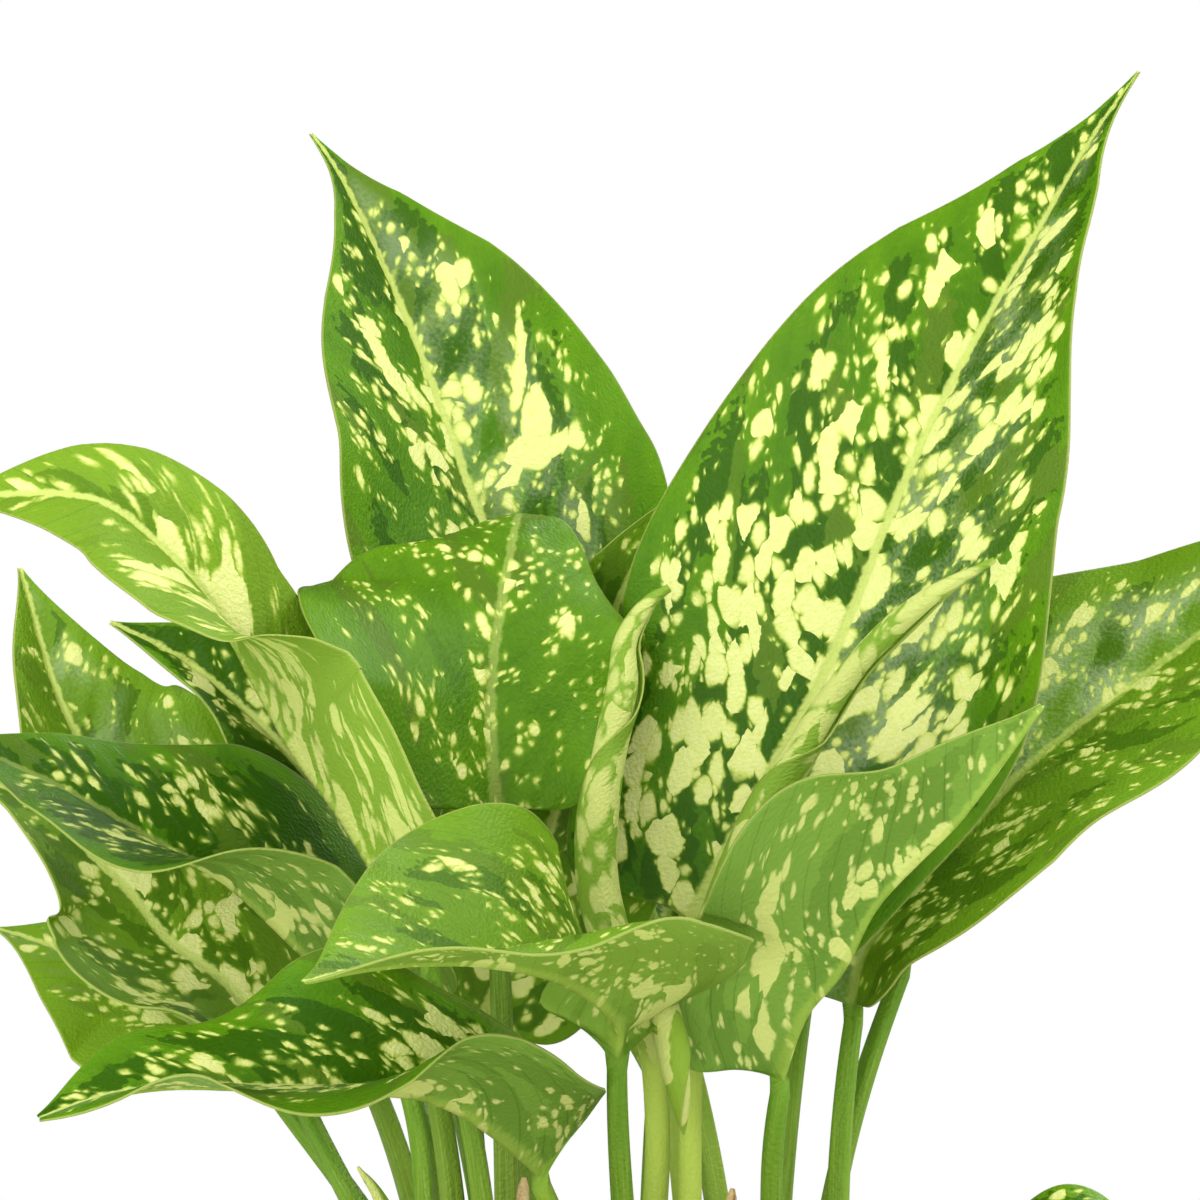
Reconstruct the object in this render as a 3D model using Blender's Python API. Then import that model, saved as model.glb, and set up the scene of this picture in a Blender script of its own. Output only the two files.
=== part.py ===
"""Potted chinese evergreen: a plain clay pot, its soil, and every leaf as one closed solid.

Sizes are in millimetres and become metres where a mesh is made. The origin is the middle
of the pot's underside, +Z is up, and the plant's show side looks along -Y.
"""

import math
from collections import namedtuple

import bpy
import numpy as np

MM = 0.001

# Pot: a plain tapered pot with a rolled band for a rim
POT_HEIGHT = 125.0
POT_FOOT_RADIUS = 55.0
POT_BAND_RADIUS = 74.0
POT_RIM_RADIUS = 81.0
POT_BAND_HEIGHT = 27.0
POT_WALL = 5.0
POT_FLOOR = 7.0
POT_ROUNDING = 2.0
POT_SIDES = 36
DRAIN_HOLES = 3
DRAIN_RADIUS = 5.0
DRAIN_CIRCLE = 27.0

# Soil: fills the pot up to a lumpy, slightly domed top
SOIL_TOP = 110.0
SOIL_DOME = 2.5
SOIL_LUMP = 1.3
SOIL_RINGS = 6
SOIL_SIDES = 28
GAP = 0.3

# Each shoot is a ring of petioles that stand in holes in the soil
SHOOTS = {
    "front_left": (-27.0, -8.0),
    "back_left": (-24.0, 20.0),
    "middle": (6.0, -8.0),
    "right": (31.0, 8.0),
}
SHOOT_RADIUS = 10.0
HOLE_DEPTH = 20.0
HOLE_CLEARANCE = 0.5
HOLE_SIDES = 10

# Petioles and blades
PETIOLE_FOOT_RADIUS = 2.6
PETIOLE_TOP_RADIUS = 1.8
PETIOLE_RINGS = 4
BLADE_THICKNESS = 0.8
BLADE_ROWS = 15
FIRST_ROW = 0.025
LAST_ROW = 0.99
ROW_BUNCHING = 0.04
BLADE_COLUMNS = (-1.0, -0.5, 0.0, 0.5, 1.0)
RIB_FOOT_RADIUS = 1.5
RIB_TIP_RADIUS = 0.3
TIP_HALF_WIDTH = 0.6
NECK_SHARE = 0.07

# The outline of a blade: how rows lean towards the tip, and how the width grows and narrows
RIB_LEAN = 1.9
MARGIN_LEAN = 1.5
SWEEP = 1.4
LOBE_SPAN = 0.36
FULLNESS = 0.8
TIP_NARROWING = 0.75
RIPPLE_GROWTH = 2.2

# A leaf grows from a shoot at a turn in degrees. "rib" is its midrib from the base of the
# blade to the tip, "up" gives where the upper face looks at shares of that length, "half" is
# the widest left and right half, "fold" says how many degrees each half rises at a share,
# "curl" is what each gains from rib to margin, "wave" is height, waves and two phases,
# "lobe" is how far the margin falls back at the base, "arch" is how early the petiole bends.
# "breadth" makes each half broader or narrower at shares of the length.
Leaf = namedtuple("Leaf", "name shoot turn rib up half fold curl wave lobe arch breadth")
EVEN_BREADTH = [(0, 1, 1)]
DRAWN_OUT_TIP = [(0.72, 1, 1), (0.84, 0.86, 0.86), (0.92, 0.5, 0.5), (1, 0.35, 0.35)]
Leaf.__new__.__defaults__ = ((0.0, 0.0), (2.0, 3.0, 0.0, 0.4), 0.05, 0.3, EVEN_BREADTH)

LEAVES = [
    Leaf("leaf_tall_left", "right", 155,
         rib=[(-6, 33, 251), (-25, 40, 286), (-33, 44, 307), (-42, 48, 330), (-53, 52, 354),
              (-61, 55, 366)],
         up=[(0, (0.34, -0.9, 0.25))],
         half=(36, 37), fold=[(0, 16, 8), (0.3, 26, 14), (0.5, 32, 20), (1, 38, 36)],
         curl=(-8, -8), wave=(1.8, 2.5, 0.1, 0.5), breadth=DRAWN_OUT_TIP),
    Leaf("leaf_tall_right", "middle", 20,
         rib=[(13, 2, 214), (26, 3, 238), (39, 4, 262), (52, 6, 293), (61, 8, 312),
              (71, 11, 330), (81, 15, 347), (90, 19, 362), (100, 23, 376)],
         up=[(0, (-0.25, -0.93, 0.2)), (0.5, (-0.4, -0.88, 0.2)), (1, (-0.5, -0.85, 0.2))],
         half=(42, 42), fold=[(0, 8, -8), (0.3, 14, 2), (0.5, 18, 22), (0.8, 22, 34), (1, 30, 45)],
         curl=(-6, -6), wave=(2.2, 3.0, 0.3, 0.1), lobe=0.08, breadth=DRAWN_OUT_TIP),
    Leaf("leaf_right", "right", 20,
         rib=[(44, 18, 197), (48, 19, 210), (67, 22, 231), (81, 25, 245), (108, 32, 265),
              (130, 38, 280), (150, 44, 290)],
         up=[(0, (-0.3, -0.85, 0.4))],
         half=(36, 29), fold=[(0, 15, 50), (0.3, 6, 26), (0.7, 4, 16), (1, 20, 25)],
         curl=(-5, 5), wave=(2.0, 2.5, 0.0, 0.4)),
    Leaf("leaf_front_right", "right", 265,
         rib=[(29, -25, 187), (33, -28, 198), (40, -32, 207), (47, -37, 220), (61, -43, 235),
              (76, -49, 256)],
         up=[(0, (-0.25, 0.8, 0.4)), (1, (-0.35, 0.75, 0.5))],
         half=(28, 31), fold=[(0, 60, 20), (0.4, 74, 14), (0.8, 60, 25), (1, 40, 30)],
         curl=(0, -14), wave=(2.5, 2.5, 0.2, 0.0), lobe=0.1),
    Leaf("leaf_middle", "front_left", 50,
         rib=[(-23, -14, 235), (-24, -11, 255), (-22, -5, 273), (-20, 4, 285), (-19, 16, 290),
              (-19, 27, 287)],
         up=[(0, (0.0, -0.95, 0.3)), (0.6, (0, -0.8, 0.6)), (1, (0, 0.3, 0.95))],
         half=(39, 27), curl=(-8, -6),
         fold=[(0, 46, -8), (0.25, 44, -10), (0.4, 26, -14), (0.55, -4, -16), (0.75, -12, -14),
               (1, -5, -5)],
         wave=(2.4, 2.5, 0.55, 0.1), lobe=0.06),
    Leaf("leaf_twisted_left", "front_left", 300,
         rib=[(-34, -31, 210), (-42, -31, 222), (-51, -28, 236), (-60, -24, 248),
              (-70, -23, 266), (-78, -26, 278), (-91, -31, 290), (-102, -34, 293),
              (-123, -38, 292)],
         up=[(0, (0.8, -0.1, 0.6)), (0.45, (0.8, -0.15, 0.6)), (0.66, (0.45, -0.6, 0.65)),
             (0.82, (0.1, -0.8, 0.6)), (1, (0.1, -0.8, 0.6))],
         half=(34, 17), fold=[(0, 36, 15), (0.2, 38, 20), (0.4, 38, 50), (0.65, 8, 36),
                              (0.8, 0, 8), (1, 10, 10)],
         curl=(6, 0), wave=(1.0, 3.0, 0.2, 0.6), lobe=0.05,
         breadth=[(0.55, 1, 1), (0.75, 1, 1.7), (1, 1, 1.9)]),
    Leaf("leaf_back_left", "back_left", 160,
         rib=[(-71, 36, 224), (-96, 40, 239), (-107, 42, 253), (-116, 44, 281)],
         up=[(0, (0.3, -0.85, 0.4)), (1, (0.5, -0.8, 0.2))],
         half=(20, 22), fold=[(0, 15, 15), (1, 30, 30)], wave=(1.5, 2.0, 0.0, 0.5)),
    Leaf("leaf_small_left", "back_left", 240,
         rib=[(-48, 22, 227), (-67, 22, 249), (-82, 20, 262), (-97, 17, 270)],
         up=[(0, (0.25, -0.8, 0.5))],
         half=(15, 16), fold=[(0, 25, 25), (1, 35, 35)], wave=(1.2, 2.0, 0.0, 0.5)),
    Leaf("leaf_left", "front_left", 200,
         rib=[(-41, -8, 193), (-50, -9, 202), (-59, -10, 210), (-72, -11, 222), (-85, -12, 229),
              (-104, -13, 240), (-127, -14, 250)],
         up=[(0, (0.5, -0.1, 0.85))],
         half=(29, 31), fold=[(0, 62, 42), (0.3, 40, 42), (0.55, 0, 40), (0.8, -26, 36),
                              (1, -10, 20)],
         curl=(0, 0), wave=(1.8, 2.5, 0.3, 0.0), lobe=0.07),
    Leaf("leaf_low_left", "front_left", 155,
         rib=[(-60, 8, 184), (-73, 12, 201), (-84, 15, 209), (-91, 18, 217), (-97, 20, 223),
              (-112, 20, 236), (-128, 20, 243)],
         up=[(0, (0.3, -0.6, 0.7))],
         half=(27, 26), fold=[(0, 5, 20), (0.5, -25, 15), (1, 0, 15)], curl=(60, 0),
         wave=(1.2, 2.0, 0.0, 0.4)),
    Leaf("leaf_low_back_left", "back_left", 200,
         rib=[(-67, 25, 185), (-88, 32, 197), (-105, 36, 206), (-121, 40, 211)],
         up=[(0, (0.2, -0.3, 0.95))],
         half=(24, 22), fold=[(0, 10, 30), (0.5, -30, 25), (1, 0, 10)],
         wave=(1.5, 2.0, 0.2, 0.5)),
    Leaf("leaf_front", "middle", 250,
         rib=[(-1, -44, 193), (-1, -48, 199), (-7, -60, 205), (-14, -73, 209), (-28, -94, 212),
              (-42, -113, 212), (-54, -127, 210)],
         up=[(0, (-0.1, 0.0, 1.0))],
         half=(37, 32), fold=[(0, 30, 60), (0.2, 22, 70), (0.4, 14, 64), (0.6, 12, 45), (1, 15, 25)],
         curl=(-14, 10), wave=(2.4, 2.5, 0.1, 0.5), lobe=0.03),
    Leaf("leaf_front_low", "middle", 185,
         rib=[(-14, -36, 171), (-18, -41, 175), (-25, -48, 181), (-32, -54, 185), (-40, -59, 187),
              (-57, -67, 188), (-78, -72, 189), (-91, -75, 187), (-103, -77, 183)],
         up=[(0, (0.2, 0.0, 1.0))],
         half=(27, 28), fold=[(0, 68, 50), (0.2, 44, 56), (0.45, 16, 50), (0.7, 5, 38), (1, 10, 20)],
         curl=(-10, 0), wave=(4.0, 2.5, 0.35, 0.1), lobe=0.05),
    Leaf("leaf_back_middle", "back_left", 285,
         rib=[(-26, 15, 194), (-20, 17, 208), (-14, 20, 227), (-8, 22, 250), (0, 23, 274),
              (8, 24, 288), (16, 24, 296)],
         up=[(0, (0.1, -0.95, 0.25))],
         half=(22, 25), fold=[(0, 15, 15), (1, 25, 20)], wave=(2.0, 2.5, 0.2, 0.6)),
    Leaf("leaf_young_right", "middle", 320,
         rib=[(13, -16, 200), (18, -17, 213), (26, -18, 229), (37, -20, 246), (49, -23, 265),
              (60, -26, 277), (68, -28, 281)],
         up=[(0, (0.2, -0.95, 0.2))],
         half=(18, 17), fold=[(0, 30, 30), (0.3, 40, 40), (1, 40, 40)], curl=(62, 70),
         wave=(0.8, 2.0, 0.0, 0.4), lobe=0.16),
    Leaf("leaf_low_right", "right", 325,
         rib=[(58, -10, 147), (72, -13, 153), (86, -15, 155), (101, -17, 150), (115, -19, 140)],
         up=[(0, (-0.2, -0.1, 1.0))],
         half=(18, 19), fold=[(0, 25, 25), (1, 15, 15)]),
    Leaf("leaf_rear_left", "back_left", 80,
         rib=[(-36, 36, 207), (-44, 58, 228), (-54, 84, 247), (-64, 112, 258)],
         up=[(0, (0.1, -0.5, 0.9))],
         half=(25, 26), fold=[(0, 28, 28), (1, 20, 20)], wave=(2.4, 2.5, 0.3, 0.0)),
    Leaf("leaf_rear_middle", "back_left", 35,
         rib=[(-20, 34, 222), (-18, 58, 246), (-18, 86, 266), (-20, 116, 270)],
         up=[(0, (0.0, -0.6, 0.8))],
         half=(27, 26), fold=[(0, 26, 26), (1, 22, 22)], wave=(2.6, 2.5, 0.0, 0.5)),
    Leaf("leaf_rear_low", "middle", 95,
         rib=[(8, 40, 200), (10, 64, 218), (13, 92, 232), (17, 120, 232)],
         up=[(0, (0.0, -0.4, 0.9))],
         half=(25, 24), fold=[(0, 24, 30), (1, 15, 20)], wave=(2.4, 2.5, 0.4, 0.9)),
    Leaf("leaf_rear_right", "right", 105,
         rib=[(38, 42, 218), (46, 64, 240), (54, 88, 256), (62, 112, 264)],
         up=[(0, (-0.2, -0.5, 0.85))],
         half=(25, 26), fold=[(0, 26, 26), (1, 20, 20)], wave=(2.4, 2.5, 0.6, 0.2)),
    Leaf("leaf_side_right", "right", 62,
         rib=[(54, 36, 206), (72, 46, 228), (92, 56, 246), (112, 64, 258)],
         up=[(0, (-0.3, -0.3, 0.9))],
         half=(22, 23), fold=[(0, 20, 26), (1, 18, 18)], wave=(1.8, 2.5, 0.1, 0.6)),
    Leaf("leaf_side_left", "back_left", 120,
         rib=[(-46, 54, 196), (-66, 64, 212), (-86, 72, 222), (-106, 80, 228)],
         up=[(0, (0.2, -0.2, 0.95))],
         half=(22, 23), fold=[(0, 20, 20), (1, 15, 15)], wave=(1.8, 2.5, 0.4, 0.0)),
]

# A spear is a young leaf still rolled up: foot, tip, how fat it gets, and its bends between
Spear = namedtuple("Spear", "name shoot turn radius path")

SPEARS = [
    Spear("spear_middle", "middle", None, 4.6,
          path=[(6, -10, 160), (-1, -16, 195), (-4, -18, 216), (-1, -18, 245), (2, -18, 262),
                (9, -18, 276)]),
    Spear("spear_left", "front_left", 245, 2.4,
          path=[(-35, -16, 140), (-43, -19, 162), (-48, -20, 170)]),
]
SPEAR_RINGS = 14
SPEAR_SIDES = 9
SPEAR_BLADE = 0.42
SPEAR_STEP = 0.28
SPEAR_SLIT = 0.06
SPEAR_TURNS = 0.8
SPEAR_TIP_RADIUS = 0.4


def unit(vectors):
    """Vectors of length one."""
    return vectors / np.linalg.norm(vectors, axis=-1, keepdims=True)


def smoothstep(share):
    """An even rise from 0 to 1."""
    share = np.clip(share, 0.0, 1.0)
    return share * share * (3.0 - 2.0 * share)


def smooth_line(points, steps=24):
    """A Catmull-Rom line through hand-placed points, as many close points."""
    points = np.asarray(points, float)
    ends = np.vstack([2 * points[0] - points[1], points, 2 * points[-1] - points[-2]])
    share = np.linspace(0.0, 1.0, steps, endpoint=False)[:, None]
    spans = []
    for a, b, c, d in zip(ends, ends[1:], ends[2:], ends[3:]):
        spans.append(0.5 * (2 * b + (c - a) * share + (2 * a - 5 * b + 4 * c - d) * share**2
                            + (3 * b - a - 3 * c + d) * share**3))
    return np.vstack(spans + [points[-1:]])


class Line:
    """A smooth line that gives its points and directions by the share of its length."""

    def __init__(self, dense):
        steps = np.linalg.norm(np.diff(dense, axis=0), axis=1)
        self.length = steps.sum()
        self.dense = dense
        self.share = np.concatenate([[0.0], np.cumsum(steps)]) / self.length
        self.slope = unit(np.gradient(dense, self.share, axis=0))

    def read(self, table, share):
        return np.stack([np.interp(share, self.share, table[:, k]) for k in range(3)], axis=-1)

    def direction(self, share):
        return unit(self.read(self.slope, np.clip(share, 0.0, 1.0)))

    def point(self, share):
        inside = np.clip(share, 0.0, 1.0)
        beyond = (share - inside) * self.length
        return self.read(self.dense, inside) + beyond[..., None] * self.direction(share)


def between(table, share, column):
    """A value read between the rows of a small table whose first column is the share."""
    return np.interp(share, [row[0] for row in table], [row[column] for row in table])


def faces_up(leaf, line, share):
    """The directions that the upper face looks along the midrib, square to it."""
    ups = [(row[0],) + tuple(row[1]) for row in leaf.up]
    hint = np.stack([between(ups, share, k) for k in (1, 2, 3)], axis=-1)
    tangent = line.direction(share)
    return unit(hint - (hint * tangent).sum(-1, keepdims=True) * tangent)


def outline(leaf, row):
    """For each row: its share at the midrib, its share at the margin, and its width there."""
    at_rib = row**RIB_LEAN
    lobe = leaf.lobe * np.sin(np.pi * np.clip(row / LOBE_SPAN, 0, 1)) ** 2
    at_margin = row**MARGIN_LEAN - lobe
    width = np.sin(np.pi * np.clip(row, 0, 1)) ** FULLNESS * (1 - TIP_NARROWING * at_rib**4)
    return at_rib, at_margin, width


def half_section(fold, curl, reach):
    """How far across and how far up a half goes that leaves the rib at fold and curls on."""
    curl = np.where(np.abs(curl) < 1e-4, 1e-4, curl)
    across = (np.sin(fold + curl * reach) - np.sin(fold)) / curl
    rise = (np.cos(fold) - np.cos(fold + curl * reach)) / curl
    return across, rise


def upper_face(leaf, line, rows, columns):
    """Points of the blade's upper face and the directions that it looks, by row and column."""
    row = rows[:, None]
    side = np.sign(columns)[None, :]
    reach = np.abs(columns)[None, :]
    at_rib, at_margin, width = outline(leaf, row)
    along = at_rib + (at_margin - at_rib) * reach**SWEEP
    inside = np.clip(along, 0, 1)
    half = np.where(side < 0, leaf.half[0], leaf.half[1])
    half = half * np.where(side < 0, between(leaf.breadth, inside, 1),
                           between(leaf.breadth, inside, 2))
    half = np.maximum(half * width, TIP_HALF_WIDTH)
    fold = np.radians(np.where(side < 0, between(leaf.fold, inside, 1),
                               between(leaf.fold, inside, 2)))
    curl = np.radians(np.where(side < 0, leaf.curl[0], leaf.curl[1]))
    across, rise = half_section(fold, curl, reach)
    tangent = line.direction(inside)
    up = faces_up(leaf, line, inside)
    right = np.cross(tangent, up)
    height, waves, left_phase, right_phase = leaf.wave
    phase = np.where(side < 0, left_phase, right_phase)
    ripple = height * reach**RIPPLE_GROWTH * np.sin(2 * np.pi * (waves * along + phase))
    ripple = ripple * np.clip(width * 1.6, 0, 1)
    lean = fold + curl * reach
    outward = side[..., None] * right
    looks = np.cos(lean)[..., None] * up - np.sin(lean)[..., None] * outward
    looks = np.where(reach[..., None] > 0, looks, up)
    points = (line.point(along) + (half * across)[..., None] * outward
              + (half * rise)[..., None] * up + ripple[..., None] * looks)
    return points, looks


def petiole_line(leaf, line):
    """The stalk's curve from the soil to the blade: it starts upright and ends along the rib."""
    foot = np.array(hole_place(leaf) + (SOIL_TOP + 2.0,))
    base = line.dense[0]
    reach = np.linalg.norm(base - foot)
    first = foot + np.array([0.0, 0.0, 0.45 * reach])
    last = base - leaf.arch * reach * unit(line.slope[0] + np.array([0.0, 0.0, 0.8]))
    share = np.linspace(0, 1, 60)[:, None]
    return Line((1 - share) ** 3 * foot + 3 * (1 - share) ** 2 * share * first
                + 3 * (1 - share) * share**2 * last + share**3 * base)


def hole_place(stalk):
    """Where a petiole or a spear goes into the soil."""
    x, y = SHOOTS[stalk.shoot]
    if stalk.turn is None:
        return (x, y)
    turn = math.radians(stalk.turn)
    return (x + SHOOT_RADIUS * math.cos(turn), y + SHOOT_RADIUS * math.sin(turn))


def ring_angles(columns):
    """Angles round a round stalk that match the points of a blade's ring."""
    top = 90.0 - 60.0 * np.asarray(columns)
    bottom = np.linspace(-5.0, -175.0, len(columns) + 2)
    return np.radians(np.concatenate([top, bottom]))


def stalk_rings(leaf, line, columns):
    """Round rings from the foot in the soil to just below the blade."""
    stalk = petiole_line(leaf, line)
    share = np.concatenate([[0.0], np.linspace(0, 1, PETIOLE_RINGS + 2)[:-1]])
    points = stalk.point(share)
    points[0, 2] = SOIL_TOP - HOLE_DEPTH
    tangents = stalk.direction(share)
    tangents[:2] = (0.0, 0.0, 1.0)
    radius = np.interp(share, [0, 1], [PETIOLE_FOOT_RADIUS, PETIOLE_TOP_RADIUS])
    up = faces_up(leaf, line, np.array([0.0]))[0]
    angle = ring_angles(columns)[:, None]
    rings = []
    for place, point, tangent, size in reversed(list(zip(share, points, tangents, radius))):
        up = unit(up - up.dot(tangent) * tangent)
        right = np.cross(tangent, up)
        middle = point - place * PETIOLE_TOP_RADIUS * up
        rings.append(middle + size * (np.cos(angle) * right + np.sin(angle) * up))
    return rings[::-1]


def blade_rings(leaf, line, rows, columns):
    """Closed rings round the blade: the upper face, then the lower face with its raised rib."""
    top, looks = upper_face(leaf, line, rows, columns)
    at_rib, _, width = outline(leaf, rows)
    up = faces_up(leaf, line, at_rib)
    tangent = line.direction(at_rib)
    right = np.cross(tangent, up)
    middle = len(columns) // 2
    rib = RIB_FOOT_RADIUS + (RIB_TIP_RADIUS - RIB_FOOT_RADIUS) * at_rib**0.6
    rib = np.minimum(rib, 0.35 * np.maximum(width * min(leaf.half), TIP_HALF_WIDTH))[:, None]
    spine = top[:, middle]
    under = top - BLADE_THICKNESS * looks
    flank = spine - 0.9 * BLADE_THICKNESS * up
    bottom = [under[:, k] for k in range(len(columns) - 1, middle, -1)]
    bottom += [flank + rib * right, spine - (BLADE_THICKNESS + rib) * up, flank - rib * right]
    bottom += [under[:, k] for k in range(middle - 1, -1, -1)]
    blade = np.concatenate([top, np.stack(bottom, axis=1)], axis=1)
    angle = ring_angles(columns)[None, :, None]
    stalk = (spine - PETIOLE_TOP_RADIUS * up)[:, None] + PETIOLE_TOP_RADIUS * (
        np.cos(angle) * right[:, None] + np.sin(angle) * up[:, None])
    mix = smoothstep(rows / NECK_SHARE)[:, None, None]
    return list(stalk * (1 - mix) + blade * mix)


def loft(rings, turned=0):
    """One closed mesh through rings of equally many points, with a fan at either end."""
    size = len(rings[0])
    points = np.vstack(rings + [rings[0].mean(0)[None], rings[-1].mean(0)[None]])
    first, last = len(points) - 2, len(points) - 1
    faces = []
    for ring in range(len(rings) - 1):
        for k in range(size):
            a = ring * size + k
            b = ring * size + (k + 1) % size
            faces += [(a, b + size, a + size), (a, b, b + size)]
    end = (len(rings) - 1) * size
    for k in range(size):
        faces.append((first, (k + 1) % size, k))
        faces.append((last, end + k, end + (k + 1) % size))
    return points, faces


def leaf_rows():
    """Rows from the base of the blade to its tip, a little closer at both ends."""
    even = np.linspace(0.0, 1.0, BLADE_ROWS)
    even = even - ROW_BUNCHING * np.sin(2 * np.pi * even)
    return FIRST_ROW + (LAST_ROW - FIRST_ROW) * even


def alike_faces(rings, columns):
    """Faces of a leaf: each strip of the lower face is split as the strip above it."""
    size = len(rings[0])
    points, faces = loft(rings)
    for ring in range(PETIOLE_RINGS + 2, len(rings) - 1):
        for k in range(len(columns), size - 1):
            a = ring * size + k
            faces[2 * a] = (a, a + 1, a + size)
            faces[2 * a + 1] = (a + 1, a + 1 + size, a + size)
    return points, faces


def leaf_mesh(leaf):
    """Petiole and blade of one leaf as one closed body."""
    line = Line(smooth_line(leaf.rib))
    columns = np.array(BLADE_COLUMNS)
    rings = stalk_rings(leaf, line, columns) + blade_rings(leaf, line, leaf_rows(), columns)
    return alike_faces(rings, columns)


def spear_radius(spear, share):
    """Radius along a spear: a stalk, then a blade that swells and runs out to a point."""
    blade = np.clip((share - SPEAR_BLADE) / (1 - SPEAR_BLADE), 0, 1)
    swell = np.sin(np.pi * blade**0.8) ** 0.7
    stalk = min(PETIOLE_FOOT_RADIUS, spear.radius * 0.75) * (1 - 0.9 * smoothstep(2 * share - 1))
    radius = np.maximum(stalk, spear.radius * swell)
    radius[-1] = SPEAR_TIP_RADIUS
    return radius


def spear_mesh(spear):
    """A rolled leaf: a slim spindle whose free margin stands up as a step that winds round it."""
    x, y = hole_place(spear)
    foot = [(x, y, SOIL_TOP + 4.0)]
    line = Line(smooth_line(foot + list(spear.path)))
    share = np.linspace(0, 1, SPEAR_RINGS)
    radius = spear_radius(spear, share)
    round_share = np.linspace(0, 1, SPEAR_SIDES + 1)[:, None]
    up = np.array([0.0, -1.0, 0.0])
    rings = []
    for k in range(SPEAR_RINGS):
        tangent = line.direction(share[k])
        up = unit(up - up.dot(tangent) * tangent)
        right = np.cross(tangent, up)
        rolled = smoothstep((share[k] - SPEAR_BLADE) / 0.1)
        angle = 2 * np.pi * (SPEAR_TURNS * share[k] - round_share) + SPEAR_SLIT * rolled * round_share
        step = 1 - SPEAR_STEP * rolled * round_share
        around = np.cos(angle) * right + np.sin(angle) * up
        rings.append(line.point(share[k]) + radius[k] * step * around)
    under = rings[0].copy()
    under[:, 2] = SOIL_TOP - HOLE_DEPTH
    return loft([under] + rings)


def turned(profile, sides):
    """A closed profile of (radius, height) points, outer side first, turned round the Z axis."""
    angle = 2 * np.pi * np.arange(sides) / sides
    points, faces = [], []
    for x, y in zip(np.cos(angle), np.sin(angle)):
        points += [(radius * x, radius * y, height) for radius, height in profile]
    count = len(profile)
    for side in range(sides):
        here, there = side * count, (side + 1) % sides * count
        for k in range(count - 1):
            faces.append((here + k, there + k, there + k + 1, here + k + 1))
    faces.append([side * count for side in reversed(range(sides))])
    faces.append([side * count + count - 1 for side in range(sides)])
    return np.array(points), faces


def corner(radius, height, start, bend):
    """Three points round a rounded edge, from one direction to the next, in degrees."""
    angles = [math.radians(start + bend * k / 2) for k in range(3)]
    return [(radius + POT_ROUNDING * math.cos(a), height + POT_ROUNDING * math.sin(a))
            for a in angles]


def inner_radius(height):
    """The pot's inner radius: it widens evenly from the floor to the top."""
    share = (height - POT_FLOOR) / (POT_HEIGHT - POT_FLOOR)
    low = POT_FOOT_RADIUS - POT_WALL + 0.5
    high = POT_RIM_RADIUS - POT_WALL - 1.0
    return low + (high - low) * share


def pot_profile():
    """Outer side from the foot up, over the rim, and down the inner side to the floor."""
    band = POT_HEIGHT - POT_BAND_HEIGHT
    edge = POT_ROUNDING
    outside = [(POT_FOOT_RADIUS - 1.5, 0.0), (POT_FOOT_RADIUS, 1.5), (POT_BAND_RADIUS, band)]
    outside += corner(POT_RIM_RADIUS - edge - 1.0, band + edge, -90, 90)
    outside += corner(POT_RIM_RADIUS - edge, POT_HEIGHT - edge, 0, 90)
    inside = corner(inner_radius(POT_HEIGHT) + edge, POT_HEIGHT - edge, 90, 90)
    inside += [(inner_radius(POT_FLOOR + 3.0), POT_FLOOR + 3.0),
               (inner_radius(POT_FLOOR) - 3.0, POT_FLOOR)]
    return outside + inside


def soil_lumps(x, y):
    """Height of the soil's lumps at a place: three crossing waves that never line up."""
    waves = np.sin(0.31 * x + 1.3) * np.cos(0.27 * y + 0.4) + 0.7 * np.sin(0.52 * x - 0.61 * y)
    return SOIL_LUMP * (waves + 0.5 * np.cos(0.83 * x + 0.77 * y))


def soil_shape():
    """Soil from the pot's floor to its top, a gap clear of the pot."""
    rim = inner_radius(SOIL_TOP) - GAP - 0.2
    foot = inner_radius(POT_FLOOR + 3.0) - GAP - 0.3
    angle = 2 * np.pi * np.arange(SOIL_SIDES) / SOIL_SIDES
    ring = np.stack([np.cos(angle), np.sin(angle), 0 * angle], axis=1)
    rings = [ring * (foot - 3.0) + [0, 0, POT_FLOOR + GAP], ring * foot + [0, 0, POT_FLOOR + 3.3]]
    rings.append(ring * rim + [0, 0, SOIL_TOP - 1.5])
    for step in range(1, SOIL_RINGS):
        share = 1 - step / SOIL_RINGS
        flat = ring * rim * share
        flat[:, 2] = SOIL_TOP + SOIL_DOME * (1 - share**2) + soil_lumps(flat[:, 0], flat[:, 1]) - 1.0
        rings.append(flat)
    return loft(rings)


def body(name, points, faces, smooth_angle=40.0):
    """A mesh object in metres with its own material still to come."""
    mesh = bpy.data.meshes.new(name)
    mesh.from_pydata([tuple(p) for p in np.asarray(points) * MM], [], [tuple(f) for f in faces])
    mesh.validate()
    mesh.shade_smooth()
    mesh.set_sharp_from_angle(angle=math.radians(smooth_angle))
    piece = bpy.data.objects.new(name, mesh)
    bpy.context.scene.collection.objects.link(piece)
    return piece


def cut(piece, cutters):
    """Takes the cutters out of a piece and removes them."""
    group = bpy.data.collections.new("cutters")
    bpy.context.scene.collection.children.link(group)
    for cutter in cutters:
        bpy.context.scene.collection.objects.unlink(cutter)
        group.objects.link(cutter)
    tool = piece.modifiers.new("holes", "BOOLEAN")
    tool.operation = "DIFFERENCE"
    tool.operand_type = "COLLECTION"
    tool.collection = group
    view = bpy.context.evaluated_depsgraph_get()
    mesh = bpy.data.meshes.new_from_object(piece.evaluated_get(view))
    piece.modifiers.remove(tool)
    piece.data = mesh
    for cutter in list(group.objects):
        bpy.data.objects.remove(cutter)
    bpy.data.collections.remove(group)


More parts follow.
